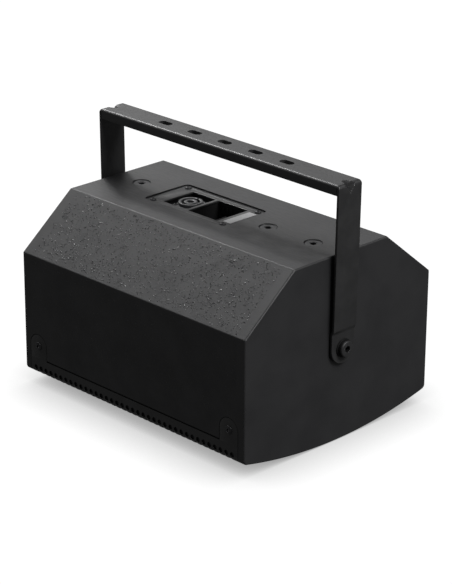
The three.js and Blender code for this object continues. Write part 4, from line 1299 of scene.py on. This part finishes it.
def build_terminals():
    low, high = box_mm("link_terminal_block")
    middle = (low.x + high.x) / 2
    body = bevelled(block("link_terminals", (-7, -18, 0), (7, 18, 12)), 0.5, 2, 40)
    ways = (-12, -4, 4, 12)
    cutters = [block("entry", (2, y - 2.6, 2), (8, y + 2.6, 7)) for y in ways]
    cutters += [prism("well", circle(-1, y, 2.4, 24), 7.5, 13) for y in ways]
    shifted(smooth_shaded(cut(body, *cutters)), middle, 0, low.z)
    # The terminal block is drawn in the shade-darkened plastic: painted shade inside the recess
    publish(body, "cabinet", "black_plastic", SHADE_DARKENED_PLASTIC, "link_terminal_block")
    heads = []
    for i, y in enumerate(ways):
        head = lathe("clamp_screw", [(0, 7.6), (2.2, 7.6), (2.2, 9.2), (2.0, 9.5), (0, 9.5)], 24)
        slot = turned_about(block("slot", (-3, -0.3, 9.0), (3, 0.3, 10)), 30 * i, "Z")
        heads.append(shifted(smooth_shaded(cut(head, slot)), -1, y, 0))
    screws = shifted(joined("link_clamp_screws", heads), middle, 0, low.z)
    publish(screws, "cabinet", "zinc_steel", ZINC)


# ---------------------------------------------------------------------------------------------
# Bracket
# ---------------------------------------------------------------------------------------------


def bracket_path():
    """(x, z, half width, outer edge radius) from the middle of the crossbar down to the right ear's tip."""
    bend_x = YOKE_HALF - YOKE_BEND
    bend_z = YOKE_TOP - YOKE_BEND
    crossbar_edge, arm_edge = 2.4, 0.6
    path = [(x, YOKE_TOP, YOKE_WIDTH, crossbar_edge) for x in (0, 40, 80, 120, 145, 150)]
    path += [(152 + i, YOKE_TOP, YOKE_WIDTH, crossbar_edge) for i in range(14)]
    for i in range(9):
        turn = math.radians(90 - 90 * i / 8)
        edge = crossbar_edge + (arm_edge - crossbar_edge) * i / 8
        x = bend_x + YOKE_BEND * math.cos(turn)
        z = bend_z + YOKE_BEND * math.sin(turn)
        path.append((x, z, YOKE_WIDTH, edge))
    lean = (YOKE_HALF - ARM_FOOT_X) / (bend_z - JOGGLE[1])
    arm = [bend_z - i for i in range(1, 13)] + [240, 200, 160, 130]
    path += [(YOKE_HALF - lean * (bend_z - z), z, YOKE_WIDTH, arm_edge) for z in arm]
    for i in range(9):
        share = i / 8
        ease = share * share * (3 - 2 * share)
        x = ARM_FOOT_X + (EAR_X - ARM_FOOT_X) * ease
        path.append((x, JOGGLE[1] + (JOGGLE[0] - JOGGLE[1]) * share, YOKE_WIDTH, arm_edge))
    path.append((EAR_X, PIVOT_Z + 7, YOKE_WIDTH, arm_edge))
    for i in range(17):
        turn = math.radians(90 - 86 * i / 16)
        path.append((EAR_X, PIVOT_Z - YOKE_WIDTH * math.cos(turn), YOKE_WIDTH * math.sin(turn), arm_edge))
    return path


def dimple_depth(along, across):
    """How far the pressed corner gusset sinks, by distance along the strip and off its middle."""
    return 8.6 * max(0.0, 1 - abs(along) / 10 - abs(across) / 7.0)


def strip_section(half, edge):
    """The strip's section as (offset across, depth), starting on the outer face at -half."""
    edge = min(edge, half * 0.6)
    inner = 0.5
    side_turns = [math.radians(a) for a in range(0, 91, 15)]
    low_turns = [math.radians(a) for a in range(0, 91, 30)]
    side = [(half - edge + edge * math.sin(t), edge - edge * math.cos(t)) for t in side_turns]
    low = [(half - inner + inner * math.cos(t), YOKE_SHEET - inner + inner * math.sin(t)) for t in low_turns]
    flat = [-1 + 2 * i / 26 for i in range(27)]
    outer = [(f * (half - edge), 0.0) for f in flat[1:-1]]
    back = [(-f * (half - inner), YOKE_SHEET) for f in flat[1:-1]]
    right = side + low
    left = [(-v, d) for v, d in reversed(right)]
    return outer + right + back + left


def bracket_strip():
    half_path = bracket_path()
    path = [(-x, z, w, e) for x, z, w, e in reversed(half_path[1:])] + half_path
    spots = [Vector((x, z)) for x, z, _, _ in path]
    run = [0.0]
    for a, b in zip(spots, spots[1:]):
        run.append(run[-1] + (b - a).length)
    bend_x = YOKE_HALF - YOKE_BEND * (1 - math.sqrt(0.5))
    bend_spots = [i for i, p in enumerate(spots) if abs(abs(p.x) - bend_x) < 0.01]
    bm = bmesh.new()
    rings = []
    for i, (x, z, half, edge) in enumerate(path):
        before = spots[max(i - 1, 0)]
        after = spots[min(i + 1, len(spots) - 1)]
        tangent = (after - before).normalized()
        inward = Vector((tangent.y, -tangent.x))
        nearest = min(bend_spots, key=lambda k: abs(run[k] - run[i]))
        diagonal = Vector((-math.copysign(1, x), -1)).normalized()
        ring = []
        for across, depth in strip_section(half, edge):
            point = Vector((x, z)) + inward * depth
            point += diagonal * dimple_depth(run[i] - run[nearest], across)
            ring.append(bm.verts.new((point.x, across, point.y)))
        rings.append(ring)
    count = len(rings[0])
    for low, high in zip(rings, rings[1:]):
        for i in range(count):
            j = (i + 1) % count
            bm.faces.new((low[i], low[j], high[j], high[i]))
    bm.faces.new(rings[0])
    bm.faces.new(rings[-1])
    return object_from_bmesh("yoke_frame", bm)


def crossbar_flange(side):
    """A down-turned edge, rounded underneath and running into the strip's own bend."""
    outer, inner = YOKE_WIDTH, YOKE_WIDTH - YOKE_SHEET
    bottom = YOKE_TOP - FLANGE_DROP
    top = YOKE_TOP - 2.6
    edge = 0.6
    section = [(outer, top)]
    section += arc(outer - edge, bottom + edge, edge, 0, -90, 3)
    section += arc(inner + edge, bottom + edge, edge, -90, -180, 3)
    section += [(inner, top)]
    section = [(side * y, z) for y, z in section]
    return prism("flange", section, -FLANGE_END, FLANGE_END, "X")


def build_bracket():
    frame_strip = unite(bracket_strip(), crossbar_flange(-1), crossbar_flange(1))
    reach = SLOT_LENGTH / 2
    half = SLOT_WIDTH / 2
    cutters = []
    for i in range(-2, 3):
        x = i * SLOT_PITCH
        outline = arc(x + reach - half, 0, half, -90, 90, 12) + arc(x - reach + half, 0, half, 90, 270, 12)
        cutters.append(prism("slot", outline, YOKE_TOP - 6, YOKE_TOP + 4))
    for end in (-1, 1):
        cutters.append(prism("bolt_hole", circle(0, PIVOT_Z, 5.5, 32), end * EAR_X - 8, end * EAR_X + 8, "X"))
    cut(frame_strip, *cutters)
    publish(smooth_shaded(frame_strip, 24), "yoke", "powder_coat", POWDER, "yoke_bracket")


# ---------------------------------------------------------------------------------------------
# Stage, light and camera
# ---------------------------------------------------------------------------------------------

CAMERA_PLACE = (1.57457, -1.54690, 1.00225)
CAMERA_VIEW = (-0.661119, 0.650648, -0.373603)
CAMERA_RIGHT = (0.700208, 0.713926, 0.004265)


def build_camera():
    data = bpy.data.cameras.new("camera")
    data.lens = 140.67
    data.sensor_width = 36
    data.clip_start = 0.05
    camera = bpy.data.objects.new("camera", data)
    camera.location = CAMERA_PLACE
    right = Vector(CAMERA_RIGHT).normalized()
    back = -Vector(CAMERA_VIEW).normalized()
    up = back.cross(right).normalized()
    camera.rotation_euler = Matrix((right, up, back)).transposed().to_euler()
    bpy.context.scene.collection.objects.link(camera)
    bpy.context.scene.camera = camera


def area_light(name, place, target, size, power):
    data = bpy.data.lights.new(name, "AREA")
    data.shape = "RECTANGLE"
    data.size, data.size_y = size
    data.energy = power
    light = bpy.data.objects.new(name, data)
    light.location = place
    light.rotation_euler = (Vector(target) - Vector(place)).to_track_quat("-Z", "Y").to_euler()
    bpy.context.scene.collection.objects.link(light)
    return light


def build_world():
    """White to look at, and a soft pale surround for what it lights."""
    world = bpy.data.worlds.new("studio")
    world.use_nodes = True
    nodes, links = world.node_tree.nodes, world.node_tree.links
    background = nodes["Background"]
    seen = nodes.new("ShaderNodeBackground")
    seen.inputs["Color"].default_value = (1, 1, 1, 1)
    seen.inputs["Strength"].default_value = 1.05
    background.inputs["Color"].default_value = (1, 1, 1, 1)
    background.inputs["Strength"].default_value = 0.115
    path = nodes.new("ShaderNodeLightPath")
    mix = nodes.new("ShaderNodeMixShader")
    links.new(path.outputs["Is Camera Ray"], mix.inputs["Fac"])
    links.new(background.outputs["Background"], mix.inputs[1])
    links.new(seen.outputs["Background"], mix.inputs[2])
    links.new(mix.outputs["Shader"], nodes["World Output"].inputs["Surface"])
    bpy.context.scene.world = world


def build_floor():
    """White paper that glows by emission instead of being lit, darkened close under the object as a painted
    contact shadow, and throws no light back at it.
    """
    verts = [(-9, -9, 0), (9, -9, 0), (9, 9, 0), (-9, 9, 0)]
    floor = object_from("floor", verts, [(0, 1, 2, 3)])
    material = bpy.data.materials.new("floor_paper")
    material.use_nodes = True
    nodes, links = material.node_tree.nodes, material.node_tree.links
    nodes.remove(nodes["Principled BSDF"])
    # The occlusion sets how brightly the paper glows: a painted shadow close under the object
    openness = nodes.new("ShaderNodeAmbientOcclusion")
    openness.samples = 16
    openness.inputs["Distance"].default_value = 0.08
    shade = nodes.new("ShaderNodeMapRange")
    shade.inputs["From Min"].default_value = 0.0
    shade.inputs["From Max"].default_value = 0.92
    shade.inputs["To Min"].default_value = 0.30
    shade.inputs["To Max"].default_value = 1.05
    glow = nodes.new("ShaderNodeEmission")
    links.new(openness.outputs["AO"], shade.inputs["Value"])
    links.new(shade.outputs["Result"], glow.inputs["Strength"])
    links.new(glow.outputs["Emission"], nodes["Material Output"].inputs["Surface"])
    floor.data.materials.append(material)
    floor.visible_diffuse = False
    floor.visible_glossy = False


LIGHT_AIM = (0, 0, 0.12)


def build_studio():
    build_camera()
    build_world()
    build_floor()
    area_light("left_softbox", (-1.9, 0.35, 2.0), LIGHT_AIM, (1.6, 1.6), 33)
    area_light("front_left_softbox", (-2.0, -1.2, 1.9), LIGHT_AIM, (2.0, 2.0), 10)
    area_light("right_softbox", (1.8, 0.2, 2.0), LIGHT_AIM, (1.2, 1.2), 80)
    area_light("edge_light", (-1.45, 0.6, 1.66), LIGHT_AIM, (0.25, 0.25), 14)
    area_light("rear_left_softbox", (-1.6, 1.6, 1.3), LIGHT_AIM, (1.6, 1.6), 4.2)
    bpy.context.scene.view_settings.view_transform = "Standard"


# ---------------------------------------------------------------------------------------------
# Everything
# ---------------------------------------------------------------------------------------------

build_studio()
dress_cad_nodes()
build_cabinet()
build_grille()
build_foam()
build_grille_screws()
build_driver_screws()
build_plugs()
build_plate()
build_dish()
build_input_connector()
build_terminals()
build_bracket()
build_pivots()
